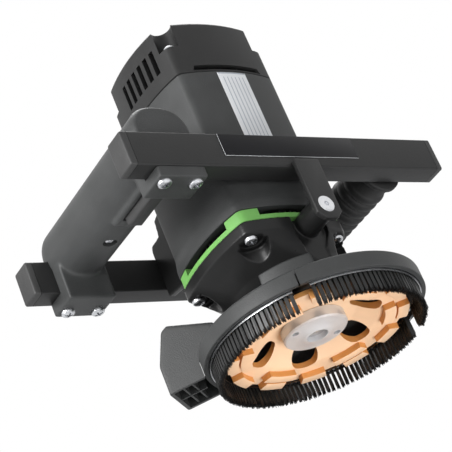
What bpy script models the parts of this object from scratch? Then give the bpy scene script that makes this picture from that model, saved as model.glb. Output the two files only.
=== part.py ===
"""Hand-held concrete grinder: an upright motor in a twin-bar frame over a cup wheel in a brushed dust hood.

Metres, +Z up. The pieces are drawn in tool coordinates, whose origin lies on the spindle axis at the working
face of the cup wheel. The tool_frame empty moves them so that the bristle tips stand on Z = 0 and the
machine's outline in plan is centred on X = 0 and Y = 0.
"""
import math

import bmesh
import bpy
from mathutils import Matrix, Vector

# Fits
FIT_GAP = 0.0003
RUN_GAP = 0.0008
MESH_GAP = 0.0025

# Cup wheel
WHEEL_CLEARANCE = 0.0037
WHEEL_BORE_RADIUS = 0.0111
WHEEL_PLATE = 0.0040
WHEEL_DISH = 0.0070
WHEEL_RIM_WIDTH = 0.0190
WHEEL_HUB_RADIUS = 0.0290
RIM_INSET = 0.0006
SEGMENT_HEIGHT = 0.0055
SEGMENT_DEPTH = 0.0080
SEGMENT_ROOT = 0.0015
OUTER_SEGMENTS = 12
OUTER_SEGMENT_SPAN = math.radians(16.0)
INNER_SEGMENTS = 6
INNER_SEGMENT_SPAN = math.radians(27.0)
DUST_HOLES = 6
DUST_HOLE_RADIUS = 0.0082
DUST_HOLE_TURN = math.radians(8.0)

# Spindle, its flange and its nut
THREAD_RADIUS = 0.0070
SHOULDER_RADIUS = 0.0110
JOURNAL_RADIUS = 0.0085
GEAR_SEAT_RADIUS = 0.0070
TOP_JOURNAL_RADIUS = 0.0040
SPINDLE_END_RECESS = 0.0012
NUT_RADIUS = 0.0219
NUT_RECESS = 0.0047
NUT_CHAMFER = 0.0010
NUT_PIN_CIRCLE = 0.0171
NUT_PIN_RADIUS = 0.0024
NUT_PIN_DEPTH = 0.0045
FLANGE_RADIUS = 0.0210
FLANGE_THICKNESS = 0.0040
FLANGE_PILOT = 0.0032

# Gear pair
GEAR_MODULE = 0.00125
PINION_TEETH = 8
GEAR_TEETH = 20
GEAR_WIDTH = 0.0100
PINION_OVERHANG = 0.0010
TOOTH_ADDENDUM = 0.80
TOOTH_DEDENDUM = 1.15
TIP_SHARE = 0.20
ROOT_SHARE = 0.52

# Bearings
SPINDLE_BEARING_RADIUS = 0.0200
SPINDLE_BEARING_WIDTH = 0.0120
BUSH_RADIUS = 0.0062
BUSH_LENGTH = 0.0060
LOWER_BEARING_RADIUS = 0.0140
LOWER_BEARING_WIDTH = 0.0080
UPPER_BEARING_RADIUS = 0.0110
UPPER_BEARING_WIDTH = 0.0070

# Gear housing
NOSE_GAP = 0.0009
NOSE_RADIUS = 0.0355
NOSE_LENGTH = 0.0095
NOSE_FLOOR = 0.0040
NOSE_SHOULDER = 0.0055
BEARING_PLATE_THICKNESS = 0.0104
PLATE_HUB_WALL = 0.0040
PLATE_FLOOR = 0.0015
SKIRT_HEIGHT = 0.0080
SKIRT_STEP = 0.0011
SKIRT_WALL = 0.0065
POCKET_POWER = 2.4
NECK_POWER = 2.3
NECK_SHARE = 0.3
BREAST_POWER = 3.0
BREAST_SHARE = 0.7
FLANGE_SCREW_INSET = 0.0105
FLANGE_SCREW_POCKET = 0.0070
FLANGE_SCREW_GRIP = 0.0097
BOSS_X = -0.0092
BOSS_DROP = 0.0046
BOSS_RADIUS = 0.0085
BOSS_FOOT_HALF = 0.0068
BOSS_BORE_DEPTH = 0.0125

# Air ring
AIR_RING_HEIGHT = 0.0087
AIR_RING_BAND = 0.0033
AIR_RING_INSET = 0.0004
AIR_RING_WALL = 0.0076
AIR_RING_BORE_POWER = 3.0
AIR_WINDOW_HALF = 0.0260

# Motor housing and cover
MOTOR_BODY_HALF = 0.0439
SIDE_BOW = 0.0056
CORNER_RADIUS = 0.0060
MOTOR_HEIGHT = 0.1100
MOTOR_LIP = 0.0035
MOTOR_FLARE = 0.0105
MOTOR_WALL = 0.0030
COVER_HEIGHT = 0.0420
COVER_CROWN = 0.0030
COVER_ROOF = 0.0060
COVER_SCREW_INSET = 0.0104
COVER_NOTCH_RADIUS = 0.0055
COVER_SCREW_GRIP = 0.0231
VENT_COUNT = 6
VENT_PITCH = 0.0076
VENT_WIDTH = 0.0030
VENT_HEIGHT = 0.0190
VENT_RISE = 0.0140
SLIT_HALF_LENGTH = 0.0275
SLIT_HEIGHT = 0.0040
SLIT_RISE = 0.0010
SLIT_DEPTH = 0.0060

# Motor works
STATOR_BASE = 0.0260
STATOR_BORE = 0.0222
CORE_AIR_GAP = 0.0009
CORE_INSET = 0.0030
SHAFT_RADIUS = 0.0060
SHAFT_TOP_RADIUS = 0.0040
PINION_SEAT_RADIUS = 0.0025
FAN_CLEARANCE = 0.0035
FAN_HEIGHT = 0.0110
FAN_BASE = 0.0055
FAN_BLADES = 10
FAN_PLATE = 0.0022
COMMUTATOR_RADIUS = 0.0130
COMMUTATOR_LENGTH = 0.0150
COMMUTATOR_GAP = 0.0080
BRACKET_THICKNESS = 0.0100
BRACKET_GAP = 0.0040
BRUSH_WIDTH = 0.0070
BRUSH_LENGTH = 0.0120
HOLDER_WALL = 0.0015

# Twin bars
BAR_HEIGHT = 0.0250
BAR_DEPTH = 0.0163
BAR_WALL = 0.0020
BAR_RISE = 0.0178
BAR_LEFT_OVERHANG = 0.0312
BAR_RIGHT_OVERHANG = 0.0340
FRONT_BAR_CLEARANCE = 0.0013
REAR_BAR_CLEARANCE = 0.0339
CAP_THICKNESS = 0.0050
CAP_PLUG = 0.0080

# Front arm and rear bracket
ARM_WIDTH = 0.0195
ARM_THICKNESS = 0.0040
ARM_CHAMFER = 0.0050
ARM_TOE = 0.0110
ARM_OVERLAP = 0.0085
ARM_SCREW_HEAD = 0.0062
ARM_SCREW_RADIUS = 0.0030
BRACKET_HALF_WIDTH = 0.0205
BRACKET_FOOT_DROP = 0.0054
BRACKET_TOP_RISE = 0.0225
BRACKET_SHELF_RISE = 0.0070
BRACKET_SHELF = 0.0145
BRACKET_BOLT_RADIUS = 0.0040
BRACKET_BOLT_HEAD = 0.0068
BRACKET_BOLT_HEAD_HEIGHT = 0.0050
BRACKET_BOLT_REACH = 0.0160

# Main handle
HANDLE_X = -0.1040
HANDLE_HALF_WIDTH = 0.0190
HANDLE_HALF_HEIGHT = 0.0205
HANDLE_AXIS_RISE = 0.0031
HANDLE_POWER = 2.4
HANDLE_WALL = 0.0030
HANDLE_END_INSET = 0.0045
HANDLE_END_ROUND = 0.0060
HANDLE_END_SCALE = 0.82
BLOCK_WIDTH = 0.0354
BLOCK_DROP = 0.0105
BLOCK_WALL = 0.0092
BLOCK_FACE_INSET = 0.0012
BLOCK_EDGE = 0.0025
CLAMP_SCREW_HALF = 0.0115
CLAMP_SCREW_REACH = 0.0040
SHELL_SCREW_INSET = 0.0454
SHELL_POST_RADIUS = 0.0060
SHELL_SCREW_WELL = 0.0080
GLAND_RADIUS = 0.0065
GLAND_BORE = 0.0038
GLAND_LENGTH = 0.0100
GLAND_FLANGE = 0.0020
GLAND_RISE = 0.0065

# Trigger and switch
TRIGGER_WIDTH = 0.0100
TRIGGER_SETBACK = 0.0015
TRIGGER_LENGTH = 0.0375
TRIGGER_DROP = 0.0082
TRIGGER_INNER = 0.0075
TRIGGER_NOSE = 0.0050
TRIGGER_PIVOT_SETBACK = 0.0045
TRIGGER_PIVOT_RISE = 0.0045
TRIGGER_SWING = math.radians(8.0)
TRIGGER_END_GAP = 0.0018
TRIGGER_SLOT_RISE = 0.0019
PIN_RADIUS = 0.0015
PIN_HALF_LENGTH = 0.0085
SWITCH_CLEARANCE = 0.0075
SWITCH_LENGTH = 0.0420
SWITCH_HEIGHT = 0.0180

# Front grip
GRIP_X = 0.0720
GRIP_CORE_RADIUS = 0.0100
GRIP_CORE_WALL = 0.0020
GRIP_RADIUS = 0.0142
GRIP_RIB = 0.0012
GRIP_RIBS = 13
GRIP_CREST = 0.4
GRIP_CUFF = 0.0100
GRIP_FLANGE = 0.0168
GRIP_FLANGE_WIDTH = 0.0040
GRIP_END_GAP = 0.0015

# Dust hood
HOOD_RADIUS = 0.0762
HOOD_RIM_Z = 0.0058
HOOD_WALL_HEIGHT = 0.0115
HOOD_WALL = 0.0030
HOOD_EDGE = 0.0020
HOOD_DOME = 0.0013
HOOD_STEP_RADIUS = 0.0520
COLLAR_WALL = 0.0037
COLLAR_FOOT_RISE = 0.0057
COLLAR_GAP = 0.0005
GATE_START = math.radians(228.4)
GATE_END = math.radians(345.0)
GATE_ROOF = 0.0052
GATE_SEAM = 0.0006
GATE_PIVOT_STANDOFF = 0.0034
KNUCKLE_RADIUS = 0.0042
KNUCKLE_HEIGHT = 0.0050
TONGUE_NEAR = 0.0013
TONGUE_FAR = 0.0076
GATE_PIN_RADIUS = 0.0018

# Brush ring
CHANNEL_STRIP = 0.0008
CHANNEL_INSET = 0.0006
BACKING_DEPTH = 0.0042
BACKING_HEIGHT = 0.0028
BRUSH_END_GAP = math.radians(4.6)
BRUSH_DROP = 0.0090
FIXED_BRUSHES = 5
FIXED_TUFTS = 14
GATE_BRUSHES = 3
GATE_TUFTS = 11
STRAND_ROWS = 3
STRAND_SHARE = 0.72

# Dust duct and hose socket
DUCT_ANGLE = math.radians(129.5)
DUCT_WIDTH = 0.0370
DUCT_REACH = 0.1000
DUCT_ROOT = 0.0560
DUCT_FOOT_Z = 0.0040
DUCT_KNEE_Z = 0.0246
DUCT_HEAD_Z = 0.0490
DUCT_ROOT_Z = 0.0365
DUCT_LEAN = 0.0090
DUCT_CORNER = 0.0050
DUCT_WALL = 0.0025
SOCKET_RADIUS = 0.0142
SOCKET_WALL = 0.0022
SOCKET_LENGTH = 0.0080
SOCKET_REACH = 0.0815
SOCKET_GAP = 0.0005

# Fasteners
M4_HEAD = 0.0036
M5_RADIUS = 0.0024
M5_HEAD = 0.0046
PAN_HEIGHT = 0.0030
PAN_CROWN = 0.6

# Facets round a turned piece, a ring or an arc, and the superellipse power of a circle
RING_POINTS = 24
WHEEL_FACETS = 36
SHAFT_FACETS = 16
SCREW_FACETS = 8
GRIP_FACETS = 12
WELL_FACETS = 12
HANDLE_POINTS = 13
ARC_STEP = math.radians(8.0)
ROUND = 2.0

# Hood and brush ring, and the wheel that turns inside them
HOOD_TOP_Z = HOOD_RIM_Z + HOOD_WALL_HEIGHT
HOOD_INNER_RADIUS = HOOD_RADIUS - HOOD_WALL
GATE_INNER_RADIUS = HOOD_INNER_RADIUS - GATE_ROOF
GATE_PIVOT_RADIUS = HOOD_RADIUS + GATE_PIVOT_STANDOFF
GATE_PIVOT = Vector((GATE_PIVOT_RADIUS * math.cos(GATE_END), GATE_PIVOT_RADIUS * math.sin(GATE_END), 0.0))
CHANNEL_OUTER = HOOD_INNER_RADIUS - CHANNEL_INSET
BACKING_OUTER = CHANNEL_OUTER - CHANNEL_STRIP - FIT_GAP
BACKING_INNER = BACKING_OUTER - BACKING_DEPTH
BACKING_TOP_Z = HOOD_RIM_Z + BACKING_HEIGHT
CHANNEL_INNER = BACKING_INNER - FIT_GAP - CHANNEL_STRIP
WHEEL_RADIUS = CHANNEL_INNER - WHEEL_CLEARANCE
WHEEL_RIM_INNER = WHEEL_RADIUS - WHEEL_RIM_WIDTH
DUST_HOLE_CIRCLE = (WHEEL_HUB_RADIUS + WHEEL_RIM_INNER) / 2

# Levels up the spindle and the motor
RIM_Z = SEGMENT_HEIGHT
HUB_Z = RIM_Z + WHEEL_DISH
HUB_TOP_Z = HUB_Z + WHEEL_PLATE
FLANGE_Z = HUB_TOP_Z + FIT_GAP
SHOULDER_Z = FLANGE_Z + FLANGE_THICKNESS + FIT_GAP
NOSE_Z = SHOULDER_Z + NOSE_GAP
SEAT_Z = NOSE_Z + NOSE_FLOOR
SPINDLE_BEARING_Z = SEAT_Z + FIT_GAP
CAVITY_Z = SPINDLE_BEARING_Z + SPINDLE_BEARING_WIDTH + FIT_GAP
GEAR_Z = CAVITY_Z + MESH_GAP
PLATE_Z = GEAR_Z + GEAR_WIDTH + MESH_GAP
GEARBOX_TOP_Z = PLATE_Z + BEARING_PLATE_THICKNESS + FIT_GAP
AIR_RING_Z = GEARBOX_TOP_Z + FIT_GAP
MOTOR_Z = AIR_RING_Z + AIR_RING_HEIGHT + FIT_GAP
MOTOR_TOP_Z = MOTOR_Z + MOTOR_HEIGHT
COVER_Z = MOTOR_TOP_Z + FIT_GAP
COVER_TOP_Z = COVER_Z + COVER_HEIGHT
BOSS_Z = GEARBOX_TOP_Z - BOSS_DROP
COLLAR_TOP_Z = NOSE_Z + NOSE_LENGTH - COLLAR_GAP
SOCKET_Z = HOOD_TOP_Z + SOCKET_RADIUS + SOCKET_GAP

# Gearbox and motor across
SKIRT_HALF = MOTOR_BODY_HALF + SKIRT_STEP
MOTOR_X = -GEAR_MODULE * (PINION_TEETH + GEAR_TEETH) / 2
COLLAR_RADIUS = NOSE_RADIUS + FIT_GAP + COLLAR_WALL
BEARING_PLATE_HALF = SKIRT_HALF - SKIRT_WALL - FIT_GAP
FLANGE_SCREW_HALF = SKIRT_HALF - FLANGE_SCREW_INSET
AIR_RING_HALF = SKIRT_HALF - AIR_RING_INSET
AIR_RING_BORE = AIR_RING_HALF - AIR_RING_WALL
MOTOR_BORE = MOTOR_BODY_HALF - MOTOR_WALL
COVER_SCREW_HALF = MOTOR_BODY_HALF - COVER_SCREW_INSET
FAN_RADIUS = MOTOR_BORE - FAN_CLEARANCE

# Frame, handle and trigger
FRONT_INNER_Y = -(MOTOR_BODY_HALF + FRONT_BAR_CLEARANCE)
FRONT_BAR_Y = FRONT_INNER_Y - BAR_DEPTH
REAR_BAR_Y = MOTOR_BODY_HALF + REAR_BAR_CLEARANCE
REAR_OUTER_Y = REAR_BAR_Y + BAR_DEPTH
BAR_CENTRES_Y = (FRONT_BAR_Y + BAR_DEPTH / 2, REAR_BAR_Y + BAR_DEPTH / 2)
BAR_LEFT_X = HANDLE_X - BAR_LEFT_OVERHANG
BAR_RIGHT_X = GRIP_X + BAR_RIGHT_OVERHANG
BAR_BOTTOM_Z = MOTOR_Z + BAR_RISE
BAR_TOP_Z = BAR_BOTTOM_Z + BAR_HEIGHT
BAR_MID_Z = BAR_BOTTOM_Z + BAR_HEIGHT / 2
HANDLE_Z = BAR_TOP_Z + HANDLE_AXIS_RISE
HANDLE_FRONT_Y = FRONT_BAR_Y + HANDLE_END_INSET
HANDLE_REAR_Y = REAR_OUTER_Y - HANDLE_END_INSET
HANDLE_BOTTOM_Z = HANDLE_Z - HANDLE_HALF_HEIGHT
BLOCK_BOTTOM_Z = BAR_BOTTOM_Z - BLOCK_DROP
SHELL_SCREW_Y = REAR_BAR_Y - SHELL_SCREW_INSET
TRIGGER_FRONT_Y = FRONT_INNER_Y + BLOCK_WALL + TRIGGER_SETBACK
TRIGGER_REAR_Y = TRIGGER_FRONT_Y + TRIGGER_LENGTH
TRIGGER_PIVOT_Y = TRIGGER_FRONT_Y + TRIGGER_PIVOT_SETBACK
TRIGGER_PIVOT_Z = HANDLE_BOTTOM_Z + TRIGGER_PIVOT_RISE
SWITCH_HALF_WIDTH = HANDLE_HALF_WIDTH - HANDLE_WALL - SWITCH_CLEARANCE
GLAND_END_Y = HANDLE_REAR_Y + FIT_GAP + GLAND_LENGTH
TOOL_ORIGIN = Vector((-(BAR_LEFT_X + BAR_RIGHT_X) / 2, (HOOD_RADIUS - GLAND_END_Y) / 2, BRUSH_DROP))

# Colour, roughness and metallic value of each finish
FINISHES = {
    "charcoal_plastic": ((0.050, 0.050, 0.050), 0.55, 0.0),
    "cover_plastic": ((0.045, 0.045, 0.045), 0.50, 0.0),
    "black_casting": ((0.012, 0.012, 0.012), 0.35, 0.0),
    "green_plastic": ((0.150, 0.520, 0.080), 0.45, 0.0),
    "black_paint": ((0.030, 0.030, 0.030), 0.40, 0.0),
    "cap_plastic": ((0.060, 0.060, 0.060), 0.50, 0.0),
    "grip_rubber": ((0.020, 0.020, 0.020), 0.75, 0.0),
    "zinc_steel": ((0.620, 0.620, 0.640), 0.30, 1.0),
    "bright_steel": ((0.720, 0.720, 0.730), 0.25, 1.0),
    "gear_steel": ((0.350, 0.350, 0.360), 0.35, 1.0),
    "wheel_copper": ((0.800, 0.480, 0.280), 0.40, 0.3),
    "nut_aluminium": ((0.780, 0.790, 0.800), 0.30, 0.9),
    "winding_copper": ((0.600, 0.280, 0.120), 0.40, 0.8),
    "lamination": ((0.180, 0.180, 0.190), 0.50, 0.8),
    "carbon": ((0.025, 0.025, 0.025), 0.70, 0.0),
    "bristle": ((0.015, 0.015, 0.015), 0.70, 0.0),
}


# Scene and materials
def clear_scene():
    for obj in list(bpy.data.objects):
        bpy.data.objects.remove(obj, do_unlink=True)


def make_finish(name):
    colour, roughness, metallic = FINISHES[name]
    material = bpy.data.materials.new(name)
    material.use_nodes = True
    shader = material.node_tree.nodes["Principled BSDF"]
    shader.inputs["Base Color"].default_value = (*colour, 1.0)
    shader.inputs["Roughness"].default_value = roughness
    shader.inputs["Metallic"].default_value = metallic
    return material


def make_empty(name, parent=None, location=(0.0, 0.0, 0.0)):
    empty = bpy.data.objects.new(name, None)
    empty.location = location
    empty.parent = parent
    bpy.context.scene.collection.objects.link(empty)
    return empty


# Mesh building
def circle(radius, z, facets=SHAFT_FACETS, x=0.0, y=0.0):
    turns = [2 * math.pi * i / facets for i in range(facets)]
    return [Vector((x + radius * math.cos(turn), y + radius * math.sin(turn), z)) for turn in turns]


def squircle(half_x, half_y, power, z, x=0.0, y=0.0, points=RING_POINTS):
    """A superellipse ring: power 2 is an ellipse, higher powers square its corners."""
    ring = []
    for i in range(points):
        turn = 2 * math.pi * i / points
        across, along = math.cos(turn), math.sin(turn)
        ring.append(Vector((
            x + half_x * math.copysign(abs(across) ** (2 / power), across),
            y + half_y * math.copysign(abs(along) ** (2 / power), along),
            z,
        )))
    return ring


def casing(half, z):
    """A ring round the motor axis: a square with bowed sides and rounded corners."""
    chord = half - SIDE_BOW
    bow_radius = (chord ** 2 + SIDE_BOW ** 2) / (2 * SIDE_BOW)
    centre = half - bow_radius
    corner = (centre + math.sqrt(2 * (bow_radius - CORNER_RADIUS) ** 2 - centre ** 2)) / 2
    span = math.atan2(corner, corner - centre)
    quarter = [(centre + bow_radius * math.cos(turn), bow_radius * math.sin(turn))
               for turn in (0.0, span / 2, span)]
    tip = corner + CORNER_RADIUS * math.sqrt(0.5)
    quarter += [(tip, tip), (quarter[2][1], quarter[2][0]), (quarter[1][1], quarter[1][0])]
    ring = []
    for _ in range(4):
        ring += [Vector((MOTOR_X + x, y, z)) for x, y in quarter]
        quarter = [(-y, x) for x, y in quarter]
    return ring


def add_loft(bm, rings, closed=False):
    """Skin a row of rings; closed joins the last ring to the first, otherwise both ends are capped."""
    loops = [[bm.verts.new(point) for point in ring] for ring in rings]
    pairs = list(zip(loops, loops[1:]))
    if closed:
        pairs.append((loops[-1], loops[0]))
    for low, high in pairs:
        for i in range(len(low)):
            j = (i + 1) % len(low)
            bm.faces.new((low[i], low[j], high[j], high[i]))
    if not closed:
        bm.faces.new(reversed(loops[0]))
        bm.faces.new(loops[-1])


def add_turned(bm, profile, facets=SHAFT_FACETS, closed=False, x=0.0, y=0.0):
    """Turn (radius, z) points about an upright axis; closed profiles make bored pieces."""
    add_loft(bm, [circle(radius, z, facets, x, y) for radius, z in profile], closed)


def add_arc(bm, profile, start, end):
    """Sweep a closed (radius, z) profile about the spindle axis from one angle to another."""
    steps = math.ceil((end - start) / ARC_STEP)
    rings = []
    for i in range(steps + 1):
        angle = start + (end - start) * i / steps
        rings.append([Vector((r * math.cos(angle), r * math.sin(angle), z)) for r, z in profile])
    add_loft(bm, rings)


def add_prism(bm, outline, axis, low, high):
    """Extrude an outline along X (y, z points), Y (x, z points) or Z (x, y points)."""
    place = {
        "X": lambda point, depth: Vector((depth, point[0], point[1])),
        "Y": lambda point, depth: Vector((point[0], depth, point[1])),
        "Z": lambda point, depth: Vector((point[0], point[1], depth)),
    }[axis]
    add_loft(bm, [[place(point, depth) for point in outline] for depth in (low, high)])


def add_box(bm, x, y, z):
    """A box from (low, high) pairs along each axis."""
    add_prism(bm, [(x[0], y[0]), (x[1], y[0]), (x[1], y[1]), (x[0], y[1])], "Z", z[0], z[1])


def add_pin_y(bm, x, z, radius, low, high, facets=SCREW_FACETS):
    step = 2 * math.pi / facets
    outline = [(x + radius * math.cos(i * step), z + radius * math.sin(i * step)) for i in range(facets)]
    add_prism(bm, outline, "Y", low, high)


def make_piece(name, bm, finish, parent, offset=(0.0, 0.0, 0.0)):
    bmesh.ops.recalc_face_normals(bm, faces=bm.faces)
    mesh = bpy.data.meshes.new(name)
    bm.to_mesh(mesh)
    bm.free()
    mesh.shade_smooth()
    mesh.set_sharp_from_angle(angle=math.radians(35.0))
    mesh.materials.append(MATERIALS[finish])
    piece = bpy.data.objects.new(name, mesh)
    piece.parent = parent
    piece.location = offset
    bpy.context.scene.collection.objects.link(piece)
    return piece


def make_cutter(name, bm, parent, offset=(0.0, 0.0, 0.0)):
    cutter = make_piece(name, bm, "black_paint", parent, offset)
    cutter.hide_render = True
    cutter.display_type = "WIRE"
    return cutter


def combine(piece, cutter, operation="DIFFERENCE"):
    modifier = piece.modifiers.new(cutter.name, "BOOLEAN")
    modifier.operation = operation
    modifier.solver = "EXACT"
    modifier.object = cutter


def about_y(x, z):
    """Turns a piece drawn up the Z axis so that it runs along +Y through the given point."""
    return Matrix.Translation((x, 0.0, z)) @ Matrix.Rotation(-math.pi / 2, 4, "X")


def add_screw(bm, x, y, head_z, head_radius, radius, reach):
    """An upright pan-head screw: the head hangs below head_z and the shank rises from it."""
    profile = [
        (head_radius * PAN_CROWN, head_z - PAN_HEIGHT),
        (head_radius, head_z - PAN_HEIGHT / 2),
        (head_radius, head_z),
        (radius, head_z),
        (radius, head_z + reach),
    ]
    add_turned(bm, profile, SCREW_FACETS, x=x, y=y)


def corners(half, x=0.0):
    return [(x + half, half), (x - half, half), (x - half, -half), (x + half, -half)]


# Cup wheel and spindle
def make_wheel(parent):
    rim_radius = WHEEL_RADIUS - RIM_INSET
    bm = bmesh.new()
    add_turned(bm, [
        (WHEEL_BORE_RADIUS, HUB_Z),
        (WHEEL_HUB_RADIUS, HUB_Z),
        (WHEEL_RIM_INNER, RIM_Z),
        (rim_radius, RIM_Z),
        (rim_radius, RIM_Z + WHEEL_PLATE),
        (WHEEL_RIM_INNER + RIM_INSET, RIM_Z + WHEEL_PLATE),
        (WHEEL_HUB_RADIUS + RIM_INSET, HUB_TOP_Z),
        (WHEEL_BORE_RADIUS, HUB_TOP_Z),
    ], WHEEL_FACETS, closed=True)
    wheel = make_piece("cup_wheel", bm, "wheel_copper", parent)

    bm = bmesh.new()
    rows = (
        (OUTER_SEGMENTS, OUTER_SEGMENT_SPAN, WHEEL_RADIUS, 0.0),
        (INNER_SEGMENTS, INNER_SEGMENT_SPAN, WHEEL_RADIUS - SEGMENT_DEPTH - RUN_GAP, 0.5),
    )
    for count, span, radius, shift in rows:
        block = [(radius - SEGMENT_DEPTH, 0.0), (radius, 0.0), (radius, RIM_Z + SEGMENT_ROOT),
                 (radius - SEGMENT_DEPTH, RIM_Z + SEGMENT_ROOT)]
        for i in range(count):
            middle = 2 * math.pi * (i + shift) / count
            add_arc(bm, block, middle - span / 2, middle + span / 2)
    combine(wheel, make_cutter("wheel_segments", bm, parent), "UNION")

    bm = bmesh.new()
    hole = [(DUST_HOLE_RADIUS, 0.0), (DUST_HOLE_RADIUS, HUB_TOP_Z + WHEEL_PLATE)]
    for i in range(DUST_HOLES):
        angle = DUST_HOLE_TURN + 2 * math.pi * i / DUST_HOLES
        x, y = DUST_HOLE_CIRCLE * math.cos(angle), DUST_HOLE_CIRCLE * math.sin(angle)
        add_turned(bm, hole, WELL_FACETS, x=x, y=y)
    combine(wheel, make_cutter("wheel_dust_holes", bm, parent))


def make_nut(parent):
    top = HUB_Z - FIT_GAP
    bore = THREAD_RADIUS + FIT_GAP
    bm = bmesh.new()
    add_turned(bm, [
        (bore, NUT_RECESS),
        (NUT_RADIUS - NUT_CHAMFER, NUT_RECESS),
        (NUT_RADIUS, NUT_RECESS + NUT_CHAMFER),
        (NUT_RADIUS, top),
        (bore, top),
    ], RING_POINTS, closed=True)
    nut = make_piece("clamping_nut", bm, "nut_aluminium", parent)
    bm = bmesh.new()
    for side in (-1, 1):
        hole = [(NUT_PIN_RADIUS, NUT_RECESS - NUT_PIN_DEPTH), (NUT_PIN_RADIUS, NUT_RECESS + NUT_PIN_DEPTH)]
        add_turned(bm, hole, SCREW_FACETS, x=side * NUT_PIN_CIRCLE)
    combine(nut, make_cutter("nut_pin_holes", bm, parent))


def make_spindle(parent):
    shoulder_top = SPINDLE_BEARING_Z - FIT_GAP
    bm = bmesh.new()
    add_turned(bm, [
        (THREAD_RADIUS - NUT_CHAMFER, NUT_RECESS + SPINDLE_END_RECESS),
        (THREAD_RADIUS, NUT_RECESS + SPINDLE_END_RECESS + NUT_CHAMFER),
        (THREAD_RADIUS, SHOULDER_Z),
        (SHOULDER_RADIUS, SHOULDER_Z),
        (SHOULDER_RADIUS, shoulder_top),
        (JOURNAL_RADIUS, shoulder_top),
        (JOURNAL_RADIUS, GEAR_Z - FIT_GAP),
        (GEAR_SEAT_RADIUS, GEAR_Z - FIT_GAP),
        (GEAR_SEAT_RADIUS, GEAR_Z + GEAR_WIDTH),
        (TOP_JOURNAL_RADIUS, GEAR_Z + GEAR_WIDTH),
        (TOP_JOURNAL_RADIUS, PLATE_Z + BUSH_LENGTH),
    ])
    make_piece("spindle", bm, "bright_steel", parent)

    bore = THREAD_RADIUS + FIT_GAP
    pilot = WHEEL_BORE_RADIUS - FIT_GAP
    bm = bmesh.new()
    add_turned(bm, [
        (bore, FLANGE_Z - FLANGE_PILOT),
        (pilot, FLANGE_Z - FLANGE_PILOT),
        (pilot, FLANGE_Z),
        (FLANGE_RADIUS, FLANGE_Z),
        (FLANGE_RADIUS, FLANGE_Z + FLANGE_THICKNESS),
        (bore, FLANGE_Z + FLANGE_THICKNESS),
    ], closed=True)
    make_piece("backing_flange", bm, "bright_steel", parent)


def gear_outline(teeth, turn):
    """Tooth flanks as straight lines, with backlash between the shares of the pitch given to tip and root."""
    pitch_radius = GEAR_MODULE * teeth / 2
    tip, root = pitch_radius + TOOTH_ADDENDUM * GEAR_MODULE, pitch_radius - TOOTH_DEDENDUM * GEAR_MODULE
    step = 2 * math.pi / teeth
    outline = []
    for i in range(teeth):
        for radius, share in ((root, -ROOT_SHARE), (tip, -TIP_SHARE), (tip, TIP_SHARE), (root, ROOT_SHARE)):
            angle = turn + (i + share / 2) * step
            outline.append((radius * math.cos(angle), radius * math.sin(angle)))
    return outline


def make_gear(name, teeth, turn, bore, low, high, parent):
    bm = bmesh.new()
    add_prism(bm, gear_outline(teeth, turn), "Z", low, high)
    gear = make_piece(name, bm, "gear_steel", parent)
    bm = bmesh.new()
    add_turned(bm, [(bore, low - GEAR_WIDTH), (bore, high + GEAR_WIDTH)])
    combine(gear, make_cutter(f"{name}_bore", bm, parent))


def make_bearing(name, radius, bore, z, width, x, parent):
    bm = bmesh.new()
    add_turned(bm, [(bore, z), (radius, z), (radius, z + width), (bore, z + width)], closed=True, x=x)
    make_piece(name, bm, "bright_steel", parent)


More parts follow.
